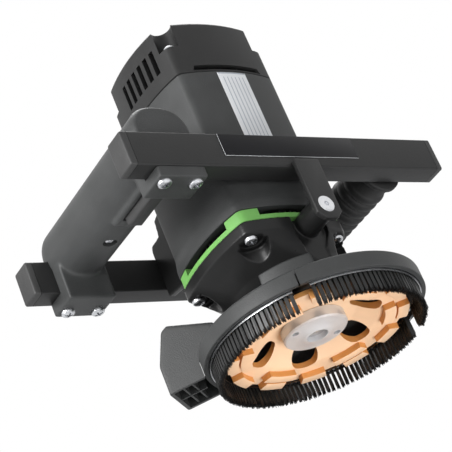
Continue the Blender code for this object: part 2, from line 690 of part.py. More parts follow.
# Gear housing and motor casing
def make_gear_housing(parent):
    shoulder_z = NOSE_Z + NOSE_LENGTH
    skirt_z = GEARBOX_TOP_Z - SKIRT_HEIGHT
    rise = skirt_z - shoulder_z
    pocket_half = BEARING_PLATE_HALF + FIT_GAP
    gear_tip = GEAR_MODULE * (GEAR_TEETH / 2 + TOOTH_ADDENDUM)
    pinion_reach = -MOTOR_X + GEAR_MODULE * (PINION_TEETH / 2 + TOOTH_ADDENDUM) + MESH_GAP
    seat = SPINDLE_BEARING_RADIUS + FIT_GAP
    cavity_right = max(seat, gear_tip + MESH_GAP)
    cavity_x = (cavity_right - pinion_reach) / 2
    cavity_half = (cavity_right + pinion_reach) / 2
    passage = SHOULDER_RADIUS + RUN_GAP
    neck = NOSE_RADIUS + NOSE_SHOULDER
    breast = (neck + SKIRT_HALF) / 2
    bm = bmesh.new()
    add_loft(bm, [
        squircle(NOSE_RADIUS, NOSE_RADIUS, ROUND, NOSE_Z),
        squircle(NOSE_RADIUS, NOSE_RADIUS, ROUND, shoulder_z),
        squircle(neck, neck, ROUND, shoulder_z + FIT_GAP),
        squircle(neck, neck, NECK_POWER, shoulder_z + rise * NECK_SHARE, MOTOR_X * NECK_SHARE),
        squircle(breast, breast, BREAST_POWER, shoulder_z + rise * BREAST_SHARE, MOTOR_X * BREAST_SHARE),
        casing(SKIRT_HALF, skirt_z),
        casing(SKIRT_HALF, GEARBOX_TOP_Z),
        squircle(pocket_half, pocket_half, POCKET_POWER, GEARBOX_TOP_Z, MOTOR_X),
        squircle(pocket_half, pocket_half, POCKET_POWER, PLATE_Z - FIT_GAP, MOTOR_X),
        squircle(cavity_half, seat, NECK_POWER, PLATE_Z - FIT_GAP, cavity_x),
        squircle(cavity_half, seat, NECK_POWER, CAVITY_Z, cavity_x),
        squircle(seat, seat, ROUND, CAVITY_Z),
        squircle(seat, seat, ROUND, SEAT_Z),
        squircle(passage, passage, ROUND, SEAT_Z),
        squircle(passage, passage, ROUND, NOSE_Z),
    ], closed=True)
    housing = make_piece("gear_housing", bm, "black_casting", parent)

    boss_root = -(SKIRT_HALF + FIT_GAP)
    bm = bmesh.new()
    add_pin_y(bm, BOSS_X, BOSS_Z, BOSS_RADIUS, FRONT_BAR_Y, boss_root, SHAFT_FACETS)
    combine(housing, make_cutter("boss_cylinder", bm, parent), "UNION")
    bm = bmesh.new()
    add_box(bm, (BOSS_X - BOSS_FOOT_HALF, BOSS_X + BOSS_FOOT_HALF),
            (boss_root - MESH_GAP, MESH_GAP - SKIRT_HALF), (BOSS_Z - BOSS_FOOT_HALF, GEARBOX_TOP_Z - FIT_GAP))
    combine(housing, make_cutter("boss_foot", bm, parent), "UNION")

    bm = bmesh.new()
    add_pin_y(bm, BOSS_X, BOSS_Z, ARM_SCREW_RADIUS + FIT_GAP, FRONT_BAR_Y - BOSS_RADIUS,
              FRONT_BAR_Y + BOSS_BORE_DEPTH)
    combine(housing, make_cutter("boss_bore", bm, parent))

    pocket_top = GEARBOX_TOP_Z - FLANGE_SCREW_GRIP
    well = [(FLANGE_SCREW_POCKET, NOSE_Z), (FLANGE_SCREW_POCKET, pocket_top)]
    bm = bmesh.new()
    for x, y in corners(FLANGE_SCREW_HALF, MOTOR_X):
        add_turned(bm, well, WELL_FACETS, x=x, y=y)
    combine(housing, make_cutter("flange_screw_pockets", bm, parent))


def make_bearing_plate(parent):
    hub_top = PLATE_Z + BUSH_LENGTH + PLATE_FLOOR + LOWER_BEARING_WIDTH + 2 * FIT_GAP
    seat_z = hub_top - LOWER_BEARING_WIDTH - FIT_GAP
    top = PLATE_Z + BEARING_PLATE_THICKNESS
    seat = LOWER_BEARING_RADIUS + FIT_GAP
    hub = seat + PLATE_HUB_WALL
    shaft_bore = GEAR_MODULE * (PINION_TEETH / 2 + TOOTH_ADDENDUM) + RUN_GAP
    bm = bmesh.new()
    add_loft(bm, [
        squircle(shaft_bore, shaft_bore, ROUND, PLATE_Z, MOTOR_X),
        squircle(BEARING_PLATE_HALF, BEARING_PLATE_HALF, POCKET_POWER, PLATE_Z, MOTOR_X),
        squircle(BEARING_PLATE_HALF, BEARING_PLATE_HALF, POCKET_POWER, top, MOTOR_X),
        squircle(hub, hub, ROUND, top, MOTOR_X),
        squircle(hub, hub, ROUND, hub_top, MOTOR_X),
        squircle(seat, seat, ROUND, hub_top, MOTOR_X),
        squircle(seat, seat, ROUND, seat_z, MOTOR_X),
        squircle(shaft_bore, shaft_bore, ROUND, seat_z, MOTOR_X),
    ], closed=True)
    plate = make_piece("bearing_plate", bm, "black_casting", parent)
    bm = bmesh.new()
    bush_seat = BUSH_RADIUS + FIT_GAP
    add_turned(bm, [(bush_seat, PLATE_Z - MESH_GAP), (bush_seat, PLATE_Z + BUSH_LENGTH + FIT_GAP)])
    combine(plate, make_cutter("bush_seat", bm, parent))
    make_bearing("spindle_bush", BUSH_RADIUS, TOP_JOURNAL_RADIUS + FIT_GAP, PLATE_Z, BUSH_LENGTH, 0.0, parent)
    make_bearing("spindle_bearing", SPINDLE_BEARING_RADIUS, JOURNAL_RADIUS + FIT_GAP, SPINDLE_BEARING_Z,
                 SPINDLE_BEARING_WIDTH, 0.0, parent)
    make_bearing("lower_motor_bearing", LOWER_BEARING_RADIUS, SHAFT_RADIUS + FIT_GAP, seat_z + FIT_GAP,
                 LOWER_BEARING_WIDTH - FIT_GAP, MOTOR_X, parent)


def make_air_ring(parent):
    top = AIR_RING_Z + AIR_RING_HEIGHT
    bm = bmesh.new()
    add_loft(bm, [
        casing(AIR_RING_HALF, AIR_RING_Z),
        casing(AIR_RING_HALF, top),
        squircle(AIR_RING_BORE, AIR_RING_BORE, AIR_RING_BORE_POWER, top, MOTOR_X),
        squircle(AIR_RING_BORE, AIR_RING_BORE, AIR_RING_BORE_POWER, AIR_RING_Z, MOTOR_X),
    ], closed=True)
    ring = make_piece("air_ring", bm, "green_plastic", parent)
    far = 2 * SKIRT_HALF
    window_z = (AIR_RING_Z + AIR_RING_BAND, top + AIR_RING_HEIGHT)
    windows = (("air_windows_sides", far, AIR_WINDOW_HALF), ("air_windows_ends", AIR_WINDOW_HALF, far))
    for name, x, y in windows:
        bm = bmesh.new()
        add_box(bm, (MOTOR_X - x, MOTOR_X + x), (-y, y), window_z)
        combine(ring, make_cutter(name, bm, parent))


def make_motor_housing(parent):
    lip_z = MOTOR_Z + MOTOR_LIP
    bm = bmesh.new()
    add_loft(bm, [
        casing(SKIRT_HALF, MOTOR_Z),
        casing(SKIRT_HALF, lip_z),
        casing(MOTOR_BODY_HALF, lip_z + MOTOR_FLARE),
        casing(MOTOR_BODY_HALF, MOTOR_TOP_Z),
        squircle(MOTOR_BORE, MOTOR_BORE, ROUND, MOTOR_TOP_Z, MOTOR_X),
        squircle(MOTOR_BORE, MOTOR_BORE, ROUND, MOTOR_Z, MOTOR_X),
    ], closed=True)
    make_piece("motor_housing", bm, "charcoal_plastic", parent)


def make_motor_cover(parent):
    roof_z = COVER_TOP_Z - COVER_ROOF
    bm = bmesh.new()
    add_loft(bm, [
        casing(MOTOR_BODY_HALF, COVER_Z),
        casing(MOTOR_BODY_HALF, COVER_TOP_Z - COVER_CROWN),
        casing(MOTOR_BODY_HALF - COVER_CROWN, COVER_TOP_Z),
    ])
    cover = make_piece("motor_cover", bm, "cover_plastic", parent)
    bm = bmesh.new()
    add_loft(bm, [
        squircle(MOTOR_BORE, MOTOR_BORE, ROUND, COVER_Z - COVER_CROWN, MOTOR_X),
        squircle(MOTOR_BORE, MOTOR_BORE, ROUND, roof_z, MOTOR_X),
    ])
    combine(cover, make_cutter("cover_hollow", bm, parent))

    bm = bmesh.new()
    vent_z = COVER_Z + VENT_RISE
    for side in (-1, 1):
        reach = sorted((MOTOR_X + side * MOTOR_BODY_HALF / 2, MOTOR_X + side * 2 * MOTOR_BODY_HALF))
        for i in range(VENT_COUNT):
            y = (i - (VENT_COUNT - 1) / 2) * VENT_PITCH
            add_box(bm, reach, (y - VENT_WIDTH / 2, y + VENT_WIDTH / 2), (vent_z, vent_z + VENT_HEIGHT))
    slit_z = COVER_Z + SLIT_RISE
    add_box(bm, (MOTOR_X - SLIT_HALF_LENGTH, MOTOR_X + SLIT_HALF_LENGTH),
            (-MOTOR_BODY_HALF - SLIT_DEPTH, SLIT_DEPTH - MOTOR_BODY_HALF), (slit_z, slit_z + SLIT_HEIGHT))
    combine(cover, make_cutter("cover_vents", bm, parent))

    bm = bmesh.new()
    seat_z = COVER_Z + COVER_SCREW_GRIP
    well = [(COVER_NOTCH_RADIUS, seat_z), (COVER_NOTCH_RADIUS, COVER_TOP_Z + COVER_CROWN)]
    for x, y in corners(COVER_SCREW_HALF, MOTOR_X):
        add_turned(bm, well, WELL_FACETS, x=x, y=y)
    combine(cover, make_cutter("cover_notches", bm, parent))


# Motor works
def add_brush(bm, side, start, stop, grow, levels):
    """A bar beside the commutator, from start to stop out from the motor axis."""
    half = BRUSH_WIDTH / 2 + grow
    add_box(bm, sorted((MOTOR_X + side * start, MOTOR_X + side * stop)), (-half, half), levels)


def make_motor_works(root, armature):
    bearing_z = MOTOR_TOP_Z - UPPER_BEARING_WIDTH
    bracket_z = MOTOR_TOP_Z - BRACKET_THICKNESS
    commutator_z = bracket_z - BRACKET_GAP - COMMUTATOR_LENGTH
    stator_z = MOTOR_Z + STATOR_BASE
    core_z = stator_z + CORE_INSET
    core_length = commutator_z - COMMUTATOR_GAP - core_z
    stator_top = core_z + core_length + CORE_INSET
    fan_z = MOTOR_Z + FAN_BASE
    journal_z = PLATE_Z + BUSH_LENGTH + PLATE_FLOOR
    bm = bmesh.new()
    outer = MOTOR_BORE - FIT_GAP
    add_turned(bm, [
        (STATOR_BORE, stator_z),
        (outer, stator_z),
        (outer, stator_top),
        (STATOR_BORE, stator_top),
    ], RING_POINTS, closed=True, x=MOTOR_X)
    make_piece("stator", bm, "lamination", root)

    bm = bmesh.new()
    add_turned(bm, [
        (PINION_SEAT_RADIUS, GEAR_Z - PINION_OVERHANG),
        (PINION_SEAT_RADIUS, journal_z),
        (SHAFT_RADIUS, journal_z),
        (SHAFT_RADIUS, bearing_z - FIT_GAP),
        (SHAFT_TOP_RADIUS, bearing_z - FIT_GAP),
        (SHAFT_TOP_RADIUS, MOTOR_TOP_Z),
    ])
    make_piece("armature_shaft", bm, "gear_steel", armature)
    make_gear("pinion", PINION_TEETH, 0.0, PINION_SEAT_RADIUS + FIT_GAP, GEAR_Z - PINION_OVERHANG,
              GEAR_Z + GEAR_WIDTH + PINION_OVERHANG, armature)

    bore = SHAFT_RADIUS + FIT_GAP
    sleeves = (
        ("armature_core", STATOR_BORE - CORE_AIR_GAP, core_z, core_length, "lamination"),
        ("commutator", COMMUTATOR_RADIUS, commutator_z, COMMUTATOR_LENGTH, "winding_copper"),
    )
    for name, radius, z, length, finish in sleeves:
        bm = bmesh.new()
        profile = [(bore, z), (radius, z), (radius, z + length), (bore, z + length)]
        add_turned(bm, profile, RING_POINTS, closed=True)
        make_piece(name, bm, finish, armature)

    bm = bmesh.new()
    hub = bore + 2 * FAN_PLATE
    add_turned(bm, [
        (bore, fan_z),
        (FAN_RADIUS, fan_z),
        (FAN_RADIUS, fan_z + FAN_PLATE),
        (hub, fan_z + FAN_PLATE),
        (hub, fan_z + FAN_HEIGHT),
        (bore, fan_z + FAN_HEIGHT),
    ], RING_POINTS, closed=True)
    fan = make_piece("cooling_fan", bm, "cap_plastic", armature)
    bm = bmesh.new()
    half = FAN_PLATE / 3
    low, high = hub + FAN_PLATE, FAN_RADIUS - half
    levels = [Vector((0, 0, z)) for z in (fan_z + FAN_PLATE / 2, fan_z + FAN_HEIGHT)]
    for i in range(FAN_BLADES):
        angle = 2 * math.pi * i / FAN_BLADES
        out = Vector((math.cos(angle), math.sin(angle), 0))
        side = Vector((-math.sin(angle), math.cos(angle), 0)) * half
        blade = [out * low - side, out * high - side, out * high + side, out * low + side]
        add_loft(bm, [[point + level for point in blade] for level in levels])
    combine(fan, make_cutter("fan_blades", bm, armature), "UNION")

    seat = UPPER_BEARING_RADIUS + FIT_GAP
    passage = SHAFT_RADIUS + RUN_GAP
    half = MOTOR_BORE - FIT_GAP
    bm = bmesh.new()
    add_loft(bm, [
        squircle(passage, passage, ROUND, bracket_z, MOTOR_X),
        squircle(half, half, ROUND, bracket_z, MOTOR_X),
        squircle(half, half, ROUND, MOTOR_TOP_Z - FIT_GAP, MOTOR_X),
        squircle(seat, seat, ROUND, MOTOR_TOP_Z - FIT_GAP, MOTOR_X),
        squircle(seat, seat, ROUND, bearing_z - FIT_GAP, MOTOR_X),
        squircle(passage, passage, ROUND, bearing_z - FIT_GAP, MOTOR_X),
    ], closed=True)
    bracket = make_piece("upper_bearing_bracket", bm, "cap_plastic", root)
    bm = bmesh.new()
    inner = seat + PLATE_HUB_WALL
    for side in (-1, 1):
        add_box(bm, (MOTOR_X - inner / 2, MOTOR_X + inner / 2),
                sorted((side * inner, side * (half - PLATE_HUB_WALL))), (bracket_z - FIT_GAP, MOTOR_TOP_Z))
    combine(bracket, make_cutter("bracket_air_ways", bm, root))
    make_bearing("upper_motor_bearing", UPPER_BEARING_RADIUS, SHAFT_TOP_RADIUS + FIT_GAP, bearing_z,
                 UPPER_BEARING_WIDTH - FIT_GAP, MOTOR_X, root)

    start = COMMUTATOR_RADIUS + FIT_GAP
    mid_z = commutator_z + COMMUTATOR_LENGTH / 2
    for side, name in ((-1, "left"), (1, "right")):
        levels = (mid_z - BRUSH_WIDTH / 2, mid_z + BRUSH_WIDTH / 2)
        brush = bmesh.new()
        add_brush(brush, side, start, start + BRUSH_LENGTH, 0.0, levels)
        make_piece(f"carbon_brush_{name}", brush, "carbon", root)
        grow = FIT_GAP + HOLDER_WALL
        holder = bmesh.new()
        add_brush(holder, side, start + HOLDER_WALL, start + BRUSH_LENGTH, grow,
                  (levels[0] - grow, bracket_z + HOLDER_WALL))
        combine(bracket, make_cutter(f"holder_{name}", holder, root), "UNION")
        hollow = bmesh.new()
        add_brush(hollow, side, start, start + 2 * BRUSH_LENGTH, FIT_GAP,
                  (levels[0] - FIT_GAP, levels[1] + FIT_GAP))
        combine(bracket, make_cutter(f"holder_hollow_{name}", hollow, root))


# Frame
def bar_section(x, y, inset):
    """The four corners of a bar's section at one place along it."""
    return [
        Vector((x, y + inset, BAR_BOTTOM_Z + inset)),
        Vector((x, y + BAR_DEPTH - inset, BAR_BOTTOM_Z + inset)),
        Vector((x, y + BAR_DEPTH - inset, BAR_TOP_Z - inset)),
        Vector((x, y + inset, BAR_TOP_Z - inset)),
    ]


def make_bar(name, y, parent):
    stations = ((BAR_LEFT_X, 0.0), (BAR_RIGHT_X, 0.0), (BAR_RIGHT_X, BAR_WALL), (BAR_LEFT_X, BAR_WALL))
    bm = bmesh.new()
    add_loft(bm, [bar_section(x, y, inset) for x, inset in stations], closed=True)
    return make_piece(name, bm, "black_paint", parent)


def make_end_caps(parent):
    plug_inset = BAR_WALL + FIT_GAP
    for place, y in (("front", FRONT_BAR_Y), ("rear", REAR_BAR_Y)):
        for hand, end, side in (("left", BAR_LEFT_X, -1), ("right", BAR_RIGHT_X, 1)):
            face = end + side * FIT_GAP
            stations = (
                (end + side * CAP_THICKNESS, 0.0),
                (face, 0.0),
                (face, plug_inset),
                (end - side * CAP_PLUG, plug_inset),
            )
            bm = bmesh.new()
            add_loft(bm, [bar_section(x, y, inset) for x, inset in stations])
            make_piece(f"{place}_bar_{hand}_cap", bm, "cap_plastic", parent)


def make_front_arm(parent):
    back = FRONT_BAR_Y - FIT_GAP
    front = back - ARM_THICKNESS
    left, right = BOSS_X - ARM_WIDTH / 2, BOSS_X + ARM_WIDTH / 2
    toe = BOSS_Z - ARM_TOE
    top = BAR_BOTTOM_Z + ARM_OVERLAP
    bm = bmesh.new()
    add_prism(bm, [
        (left, top),
        (left, toe + ARM_CHAMFER),
        (left + ARM_CHAMFER, toe),
        (right - ARM_CHAMFER, toe),
        (right, toe + ARM_CHAMFER),
        (right, top),
    ], "Y", front, back)
    arm = make_piece("front_arm", bm, "black_paint", parent)

    head_depth = ARM_SCREW_HEAD - ARM_SCREW_RADIUS
    screw = [
        (ARM_SCREW_RADIUS, FRONT_BAR_Y + BOSS_BORE_DEPTH - FIT_GAP),
        (ARM_SCREW_RADIUS, front + head_depth),
        (ARM_SCREW_HEAD, front),
    ]
    turn = about_y(BOSS_X, BOSS_Z)
    bm = bmesh.new()
    add_turned(bm, screw)
    bm.transform(turn)
    make_piece("arm_screw", bm, "bright_steel", parent)
    bm = bmesh.new()
    sunk = front - ARM_THICKNESS
    add_turned(bm, [
        (ARM_SCREW_RADIUS + FIT_GAP, back + ARM_THICKNESS),
        (ARM_SCREW_RADIUS + FIT_GAP, front + head_depth),
        (ARM_SCREW_HEAD + FIT_GAP, front),
        (ARM_SCREW_HEAD + FIT_GAP, sunk),
    ])
    bm.transform(turn)
    combine(arm, make_cutter("arm_countersink", bm, parent))


def make_rear_bracket(parent, rear_bar):
    bar_face = REAR_BAR_Y - FIT_GAP
    wall = MOTOR_BODY_HALF + FIT_GAP
    flare = SKIRT_HALF + FIT_GAP
    flare_top_z = MOTOR_Z + MOTOR_LIP + MOTOR_FLARE
    top_z = BAR_TOP_Z + BRACKET_TOP_RISE
    shelf_z = BAR_TOP_Z + BRACKET_SHELF_RISE
    foot_z = BAR_BOTTOM_Z - BRACKET_FOOT_DROP
    slope_y = bar_face - BRACKET_SHELF
    bm = bmesh.new()
    add_prism(bm, [
        (bar_face, foot_z),
        (bar_face, shelf_z),
        (slope_y, shelf_z),
        ((slope_y + wall) / 2, top_z),
        (wall, top_z),
        (wall, flare_top_z),
        (flare, foot_z),
    ], "X", MOTOR_X - BRACKET_HALF_WIDTH, MOTOR_X + BRACKET_HALF_WIDTH)
    bracket = make_piece("rear_bracket", bm, "black_casting", parent)

    head_y = REAR_OUTER_Y + FIT_GAP
    tip_y = bar_face - BRACKET_BOLT_REACH
    turn = about_y(MOTOR_X, BAR_MID_Z)
    bm = bmesh.new()
    add_turned(bm, [
        (BRACKET_BOLT_RADIUS, tip_y),
        (BRACKET_BOLT_RADIUS, head_y),
        (BRACKET_BOLT_HEAD, head_y),
        (BRACKET_BOLT_HEAD, head_y + BRACKET_BOLT_HEAD_HEIGHT),
    ], WELL_FACETS)
    bm.transform(turn)
    make_piece("rear_bracket_bolt", bm, "zinc_steel", parent)
    bore = BRACKET_BOLT_RADIUS + FIT_GAP
    bm = bmesh.new()
    add_turned(bm, [(bore, tip_y - FIT_GAP), (bore, head_y + FIT_GAP)], WELL_FACETS)
    bm.transform(turn)
    cutter = make_cutter("rear_bolt_hole", bm, parent)
    for target in (bracket, rear_bar):
        combine(target, cutter)


# Main handle
def handle_arc(inset, split_drop, upper):
    """Part of the handle's section above or below a level that lies split_drop under its axis."""
    half_width, half_height = HANDLE_HALF_WIDTH - inset, HANDLE_HALF_HEIGHT - inset
    dip = math.asin((split_drop / half_height) ** (HANDLE_POWER / 2))
    start, end = (-dip, math.pi + dip) if upper else (math.pi + dip, 2 * math.pi - dip)
    arc = []
    for i in range(HANDLE_POINTS):
        turn = start + (end - start) * i / (HANDLE_POINTS - 1)
        across, along = math.cos(turn), math.sin(turn)
        arc.append((
            HANDLE_X + half_width * math.copysign(abs(across) ** (2 / HANDLE_POWER), across),
            HANDLE_Z + half_height * math.copysign(abs(along) ** (2 / HANDLE_POWER), along),
        ))
    return arc


def make_handle_upper(parent):
    seam_drop = HANDLE_AXIS_RISE - FIT_GAP
    seam_z = HANDLE_Z - seam_drop
    outer = handle_arc(0.0, seam_drop, True)
    rings = []
    for y, scale in (
        (HANDLE_FRONT_Y, HANDLE_END_SCALE),
        (HANDLE_FRONT_Y + HANDLE_END_ROUND, 1.0),
        (HANDLE_REAR_Y - HANDLE_END_ROUND, 1.0),
        (HANDLE_REAR_Y, HANDLE_END_SCALE),
    ):
        rings.append([Vector((HANDLE_X + (x - HANDLE_X) * scale, y, seam_z + (z - seam_z) * scale))
                      for x, z in outer])
    bm = bmesh.new()
    add_loft(bm, rings)
    upper = make_piece("handle_upper_shell", bm, "charcoal_plastic", parent)

    inner = handle_arc(HANDLE_WALL, seam_drop, True)
    inner += [(inner[end][0], seam_z - HANDLE_WALL) for end in (-1, 0)]
    end_wall = HANDLE_END_ROUND + HANDLE_WALL
    bm = bmesh.new()
    add_prism(bm, inner, "Y", HANDLE_FRONT_Y + end_wall, HANDLE_REAR_Y - end_wall)
    combine(upper, make_cutter("handle_upper_hollow", bm, parent))

    gland_z = HANDLE_Z + GLAND_RISE
    bm = bmesh.new()
    add_pin_y(bm, HANDLE_X, gland_z, GLAND_RADIUS + FIT_GAP, HANDLE_REAR_Y - 2 * end_wall,
              HANDLE_REAR_Y + end_wall, SHAFT_FACETS)
    combine(upper, make_cutter("gland_hole", bm, parent))
    flange = GLAND_RADIUS + GLAND_FLANGE
    face = HANDLE_REAR_Y + FIT_GAP
    bm = bmesh.new()
    add_turned(bm, [
        (GLAND_BORE, HANDLE_REAR_Y - end_wall),
        (GLAND_RADIUS, HANDLE_REAR_Y - end_wall),
        (GLAND_RADIUS, face),
        (flange, face),
        (flange, face + GLAND_FLANGE),
        (GLAND_RADIUS, face + GLAND_FLANGE),
        (GLAND_BORE + HOLDER_WALL, face + GLAND_LENGTH),
        (GLAND_BORE, face + GLAND_LENGTH),
    ], closed=True)
    bm.transform(about_y(HANDLE_X, gland_z))
    make_piece("cable_gland", bm, "grip_rubber", parent)


def add_block(bm, y, bottom, top):
    """A clamp block round a bar with its lower edges rounded off."""
    half = BLOCK_WIDTH / 2
    outline = [
        (HANDLE_X - half, top),
        (HANDLE_X - half, bottom + BLOCK_EDGE),
        (HANDLE_X - half + BLOCK_EDGE, bottom),
        (HANDLE_X + half - BLOCK_EDGE, bottom),
        (HANDLE_X + half, bottom + BLOCK_EDGE),
        (HANDLE_X + half, top),
    ]
    add_prism(bm, outline, "Y", y[0], y[1])


def make_handle_lower(parent):
    tube_y = (FRONT_INNER_Y + FIT_GAP, REAR_BAR_Y - FIT_GAP)
    bm = bmesh.new()
    add_prism(bm, handle_arc(0.0, HANDLE_AXIS_RISE, False), "Y", *tube_y)
    lower = make_piece("handle_lower_shell", bm, "charcoal_plastic", parent)

    spans = (
        ("front_clamp_block", (FRONT_BAR_Y + BLOCK_FACE_INSET, FRONT_INNER_Y + BLOCK_WALL)),
        ("rear_clamp_block", (REAR_BAR_Y - BLOCK_WALL, REAR_OUTER_Y - BLOCK_FACE_INSET)),
    )
    for name, span in spans:
        bm = bmesh.new()
        add_block(bm, span, BLOCK_BOTTOM_Z, BAR_TOP_Z - FIT_GAP)
        combine(lower, make_cutter(name, bm, parent), "UNION")

    inner = handle_arc(HANDLE_WALL, HANDLE_AXIS_RISE, False)
    inner += [(inner[end][0], BAR_TOP_Z + HANDLE_WALL) for end in (-1, 0)]
    bm = bmesh.new()
    add_prism(bm, inner, "Y", tube_y[0] + HANDLE_WALL, tube_y[1] - HANDLE_WALL)
    combine(lower, make_cutter("handle_lower_hollow", bm, parent))

    post = [(SHELL_POST_RADIUS, HANDLE_BOTTOM_Z + HANDLE_WALL / 2), (SHELL_POST_RADIUS, BAR_TOP_Z - FIT_GAP)]
    bm = bmesh.new()
    add_turned(bm, post, WELL_FACETS, x=HANDLE_X, y=SHELL_SCREW_Y)
    combine(lower, make_cutter("handle_lower_post", bm, parent), "UNION")

    well = M4_HEAD + FIT_GAP
    bm = bmesh.new()
    add_turned(bm, [(well, HANDLE_BOTTOM_Z - HANDLE_WALL), (well, HANDLE_BOTTOM_Z + SHELL_SCREW_WELL)],
               SCREW_FACETS, x=HANDLE_X, y=SHELL_SCREW_Y)
    far = HANDLE_X - BLOCK_WIDTH, HANDLE_X + BLOCK_WIDTH
    front_seat = (FRONT_BAR_Y - BAR_DEPTH, FRONT_INNER_Y + FIT_GAP)
    rear_seat = (REAR_BAR_Y - FIT_GAP, REAR_OUTER_Y + BAR_DEPTH)
    for y in (front_seat, rear_seat):
        add_box(bm, far, y, (BAR_BOTTOM_Z - FIT_GAP, BAR_TOP_Z + BAR_HEIGHT))
    half = TRIGGER_WIDTH / 2 + RUN_GAP
    add_box(bm, (HANDLE_X - half, HANDLE_X + half),
            (TRIGGER_FRONT_Y - RUN_GAP, TRIGGER_REAR_Y + TRIGGER_END_GAP),
            (HANDLE_BOTTOM_Z - TRIGGER_DROP, HANDLE_BOTTOM_Z + HANDLE_WALL + TRIGGER_SLOT_RISE))
    combine(lower, make_cutter("handle_lower_cuts", bm, parent))
    bm = bmesh.new()
    add_pin_x(bm, PIN_RADIUS + FIT_GAP, PIN_HALF_LENGTH + FIT_GAP)
    combine(lower, make_cutter("trigger_pin_seat", bm, parent))
    return lower


def make_clamp_screws(parent, lower, bars):
    head_z = BLOCK_BOTTOM_Z - FIT_GAP
    reach = BLOCK_DROP + BAR_WALL + CLAMP_SCREW_REACH
    bore = M5_RADIUS + FIT_GAP
    holes = bmesh.new()
    for place, y in zip(("front", "rear"), BAR_CENTRES_Y):
        for hand, side in (("left", -1), ("right", 1)):
            x = HANDLE_X + side * CLAMP_SCREW_HALF
            bm = bmesh.new()
            add_screw(bm, x, y, head_z, M5_HEAD, M5_RADIUS, reach)
            make_piece(f"{place}_{hand}_clamp_screw", bm, "zinc_steel", parent)
            add_turned(holes, [(bore, head_z - PAN_HEIGHT), (bore, head_z + reach)], SCREW_FACETS, x=x, y=y)
    cutter = make_cutter("clamp_screw_holes", holes, parent)
    for target in (lower, *bars):
        combine(target, cutter)


def add_pin_x(bm, radius, half_length):
    """A bar along the trigger's pivot axis."""
    step = 2 * math.pi / SCREW_FACETS
    outline = [(TRIGGER_PIVOT_Y + radius * math.cos(i * step), TRIGGER_PIVOT_Z + radius * math.sin(i * step))
               for i in range(SCREW_FACETS)]
    add_prism(bm, outline, "X", HANDLE_X - half_length, HANDLE_X + half_length)


def make_trigger(root, pivot):
    bottom = HANDLE_BOTTOM_Z - TRIGGER_DROP
    top = HANDLE_BOTTOM_Z + TRIGGER_INNER
    half = TRIGGER_WIDTH / 2
    origin = -Vector((HANDLE_X, TRIGGER_PIVOT_Y, TRIGGER_PIVOT_Z))
    bm = bmesh.new()
    add_prism(bm, [
        (TRIGGER_FRONT_Y, top),
        (TRIGGER_FRONT_Y, bottom + TRIGGER_NOSE),
        (TRIGGER_FRONT_Y + TRIGGER_NOSE, bottom),
        (TRIGGER_REAR_Y - TRIGGER_NOSE / 3, bottom),
        (TRIGGER_REAR_Y, bottom + TRIGGER_NOSE / 3),
        (TRIGGER_REAR_Y, top),
    ], "X", HANDLE_X - half, HANDLE_X + half)
    trigger = make_piece("trigger", bm, "grip_rubber", pivot, origin)
    bm = bmesh.new()
    add_pin_x(bm, PIN_RADIUS, PIN_HALF_LENGTH)
    make_piece("trigger_pin", bm, "bright_steel", root)
    bm = bmesh.new()
    add_pin_x(bm, PIN_RADIUS + FIT_GAP, TRIGGER_WIDTH)
    combine(trigger, make_cutter("trigger_bore", bm, pivot, origin))

    swing = (TRIGGER_REAR_Y - TRIGGER_PIVOT_Y) * math.sin(TRIGGER_SWING)
    base = top + swing + RUN_GAP
    front = TRIGGER_PIVOT_Y
    bm = bmesh.new()
    add_box(bm, (HANDLE_X - SWITCH_HALF_WIDTH, HANDLE_X + SWITCH_HALF_WIDTH), (front, front + SWITCH_LENGTH),
            (base, base + SWITCH_HEIGHT))
    make_piece("switch_module", bm, "cap_plastic", root)


# Front grip
def make_grip(parent):
    start, end = FRONT_INNER_Y + FIT_GAP, REAR_BAR_Y - FIT_GAP
    turn = about_y(GRIP_X, BAR_MID_Z)
    bm = bmesh.new()
    inner = GRIP_CORE_RADIUS - GRIP_CORE_WALL
    add_turned(bm, [(inner, start), (GRIP_CORE_RADIUS, start), (GRIP_CORE_RADIUS, end), (inner, end)],
               GRIP_FACETS, closed=True)
    bm.transform(turn)
    make_piece("grip_core", bm, "black_paint", parent)

    bore = GRIP_CORE_RADIUS + FIT_GAP
    start, end = start + GRIP_END_GAP, end - GRIP_END_GAP
    ribs_start = start + GRIP_FLANGE_WIDTH + GRIP_CUFF
    pitch = (end - ribs_start) / GRIP_RIBS
    profile = [(bore, start), (GRIP_FLANGE, start), (GRIP_FLANGE, start + GRIP_FLANGE_WIDTH),
               (GRIP_RADIUS, start + GRIP_FLANGE_WIDTH)]
    for i in range(GRIP_RIBS):
        y = ribs_start + i * pitch
        profile += [(GRIP_RADIUS, y), (GRIP_RADIUS + GRIP_RIB, y + pitch * GRIP_CREST)]
    profile += [(GRIP_RADIUS, end), (bore, end)]
    bm = bmesh.new()
    add_turned(bm, profile, GRIP_FACETS, closed=True)
    bm.transform(turn)
    make_piece("grip_sleeve", bm, "grip_rubber", parent)


# Dust hood
def hood_profile():
    roof_under = HOOD_TOP_Z - HOOD_WALL
    collar_inner = NOSE_RADIUS + FIT_GAP
    foot_z = HOOD_TOP_Z + COLLAR_FOOT_RISE
    return [
        (HOOD_RADIUS, HOOD_RIM_Z),
        (HOOD_RADIUS, HOOD_TOP_Z - HOOD_EDGE),
        (HOOD_RADIUS - HOOD_EDGE, HOOD_TOP_Z),
        (HOOD_STEP_RADIUS, HOOD_TOP_Z + HOOD_DOME),
        (COLLAR_RADIUS, foot_z),
        (COLLAR_RADIUS, COLLAR_TOP_Z),
        (collar_inner, COLLAR_TOP_Z),
        (collar_inner, foot_z - HOOD_WALL),
        (HOOD_STEP_RADIUS, roof_under + HOOD_DOME),
        (HOOD_INNER_RADIUS, roof_under),
        (HOOD_INNER_RADIUS, HOOD_RIM_Z),
    ]


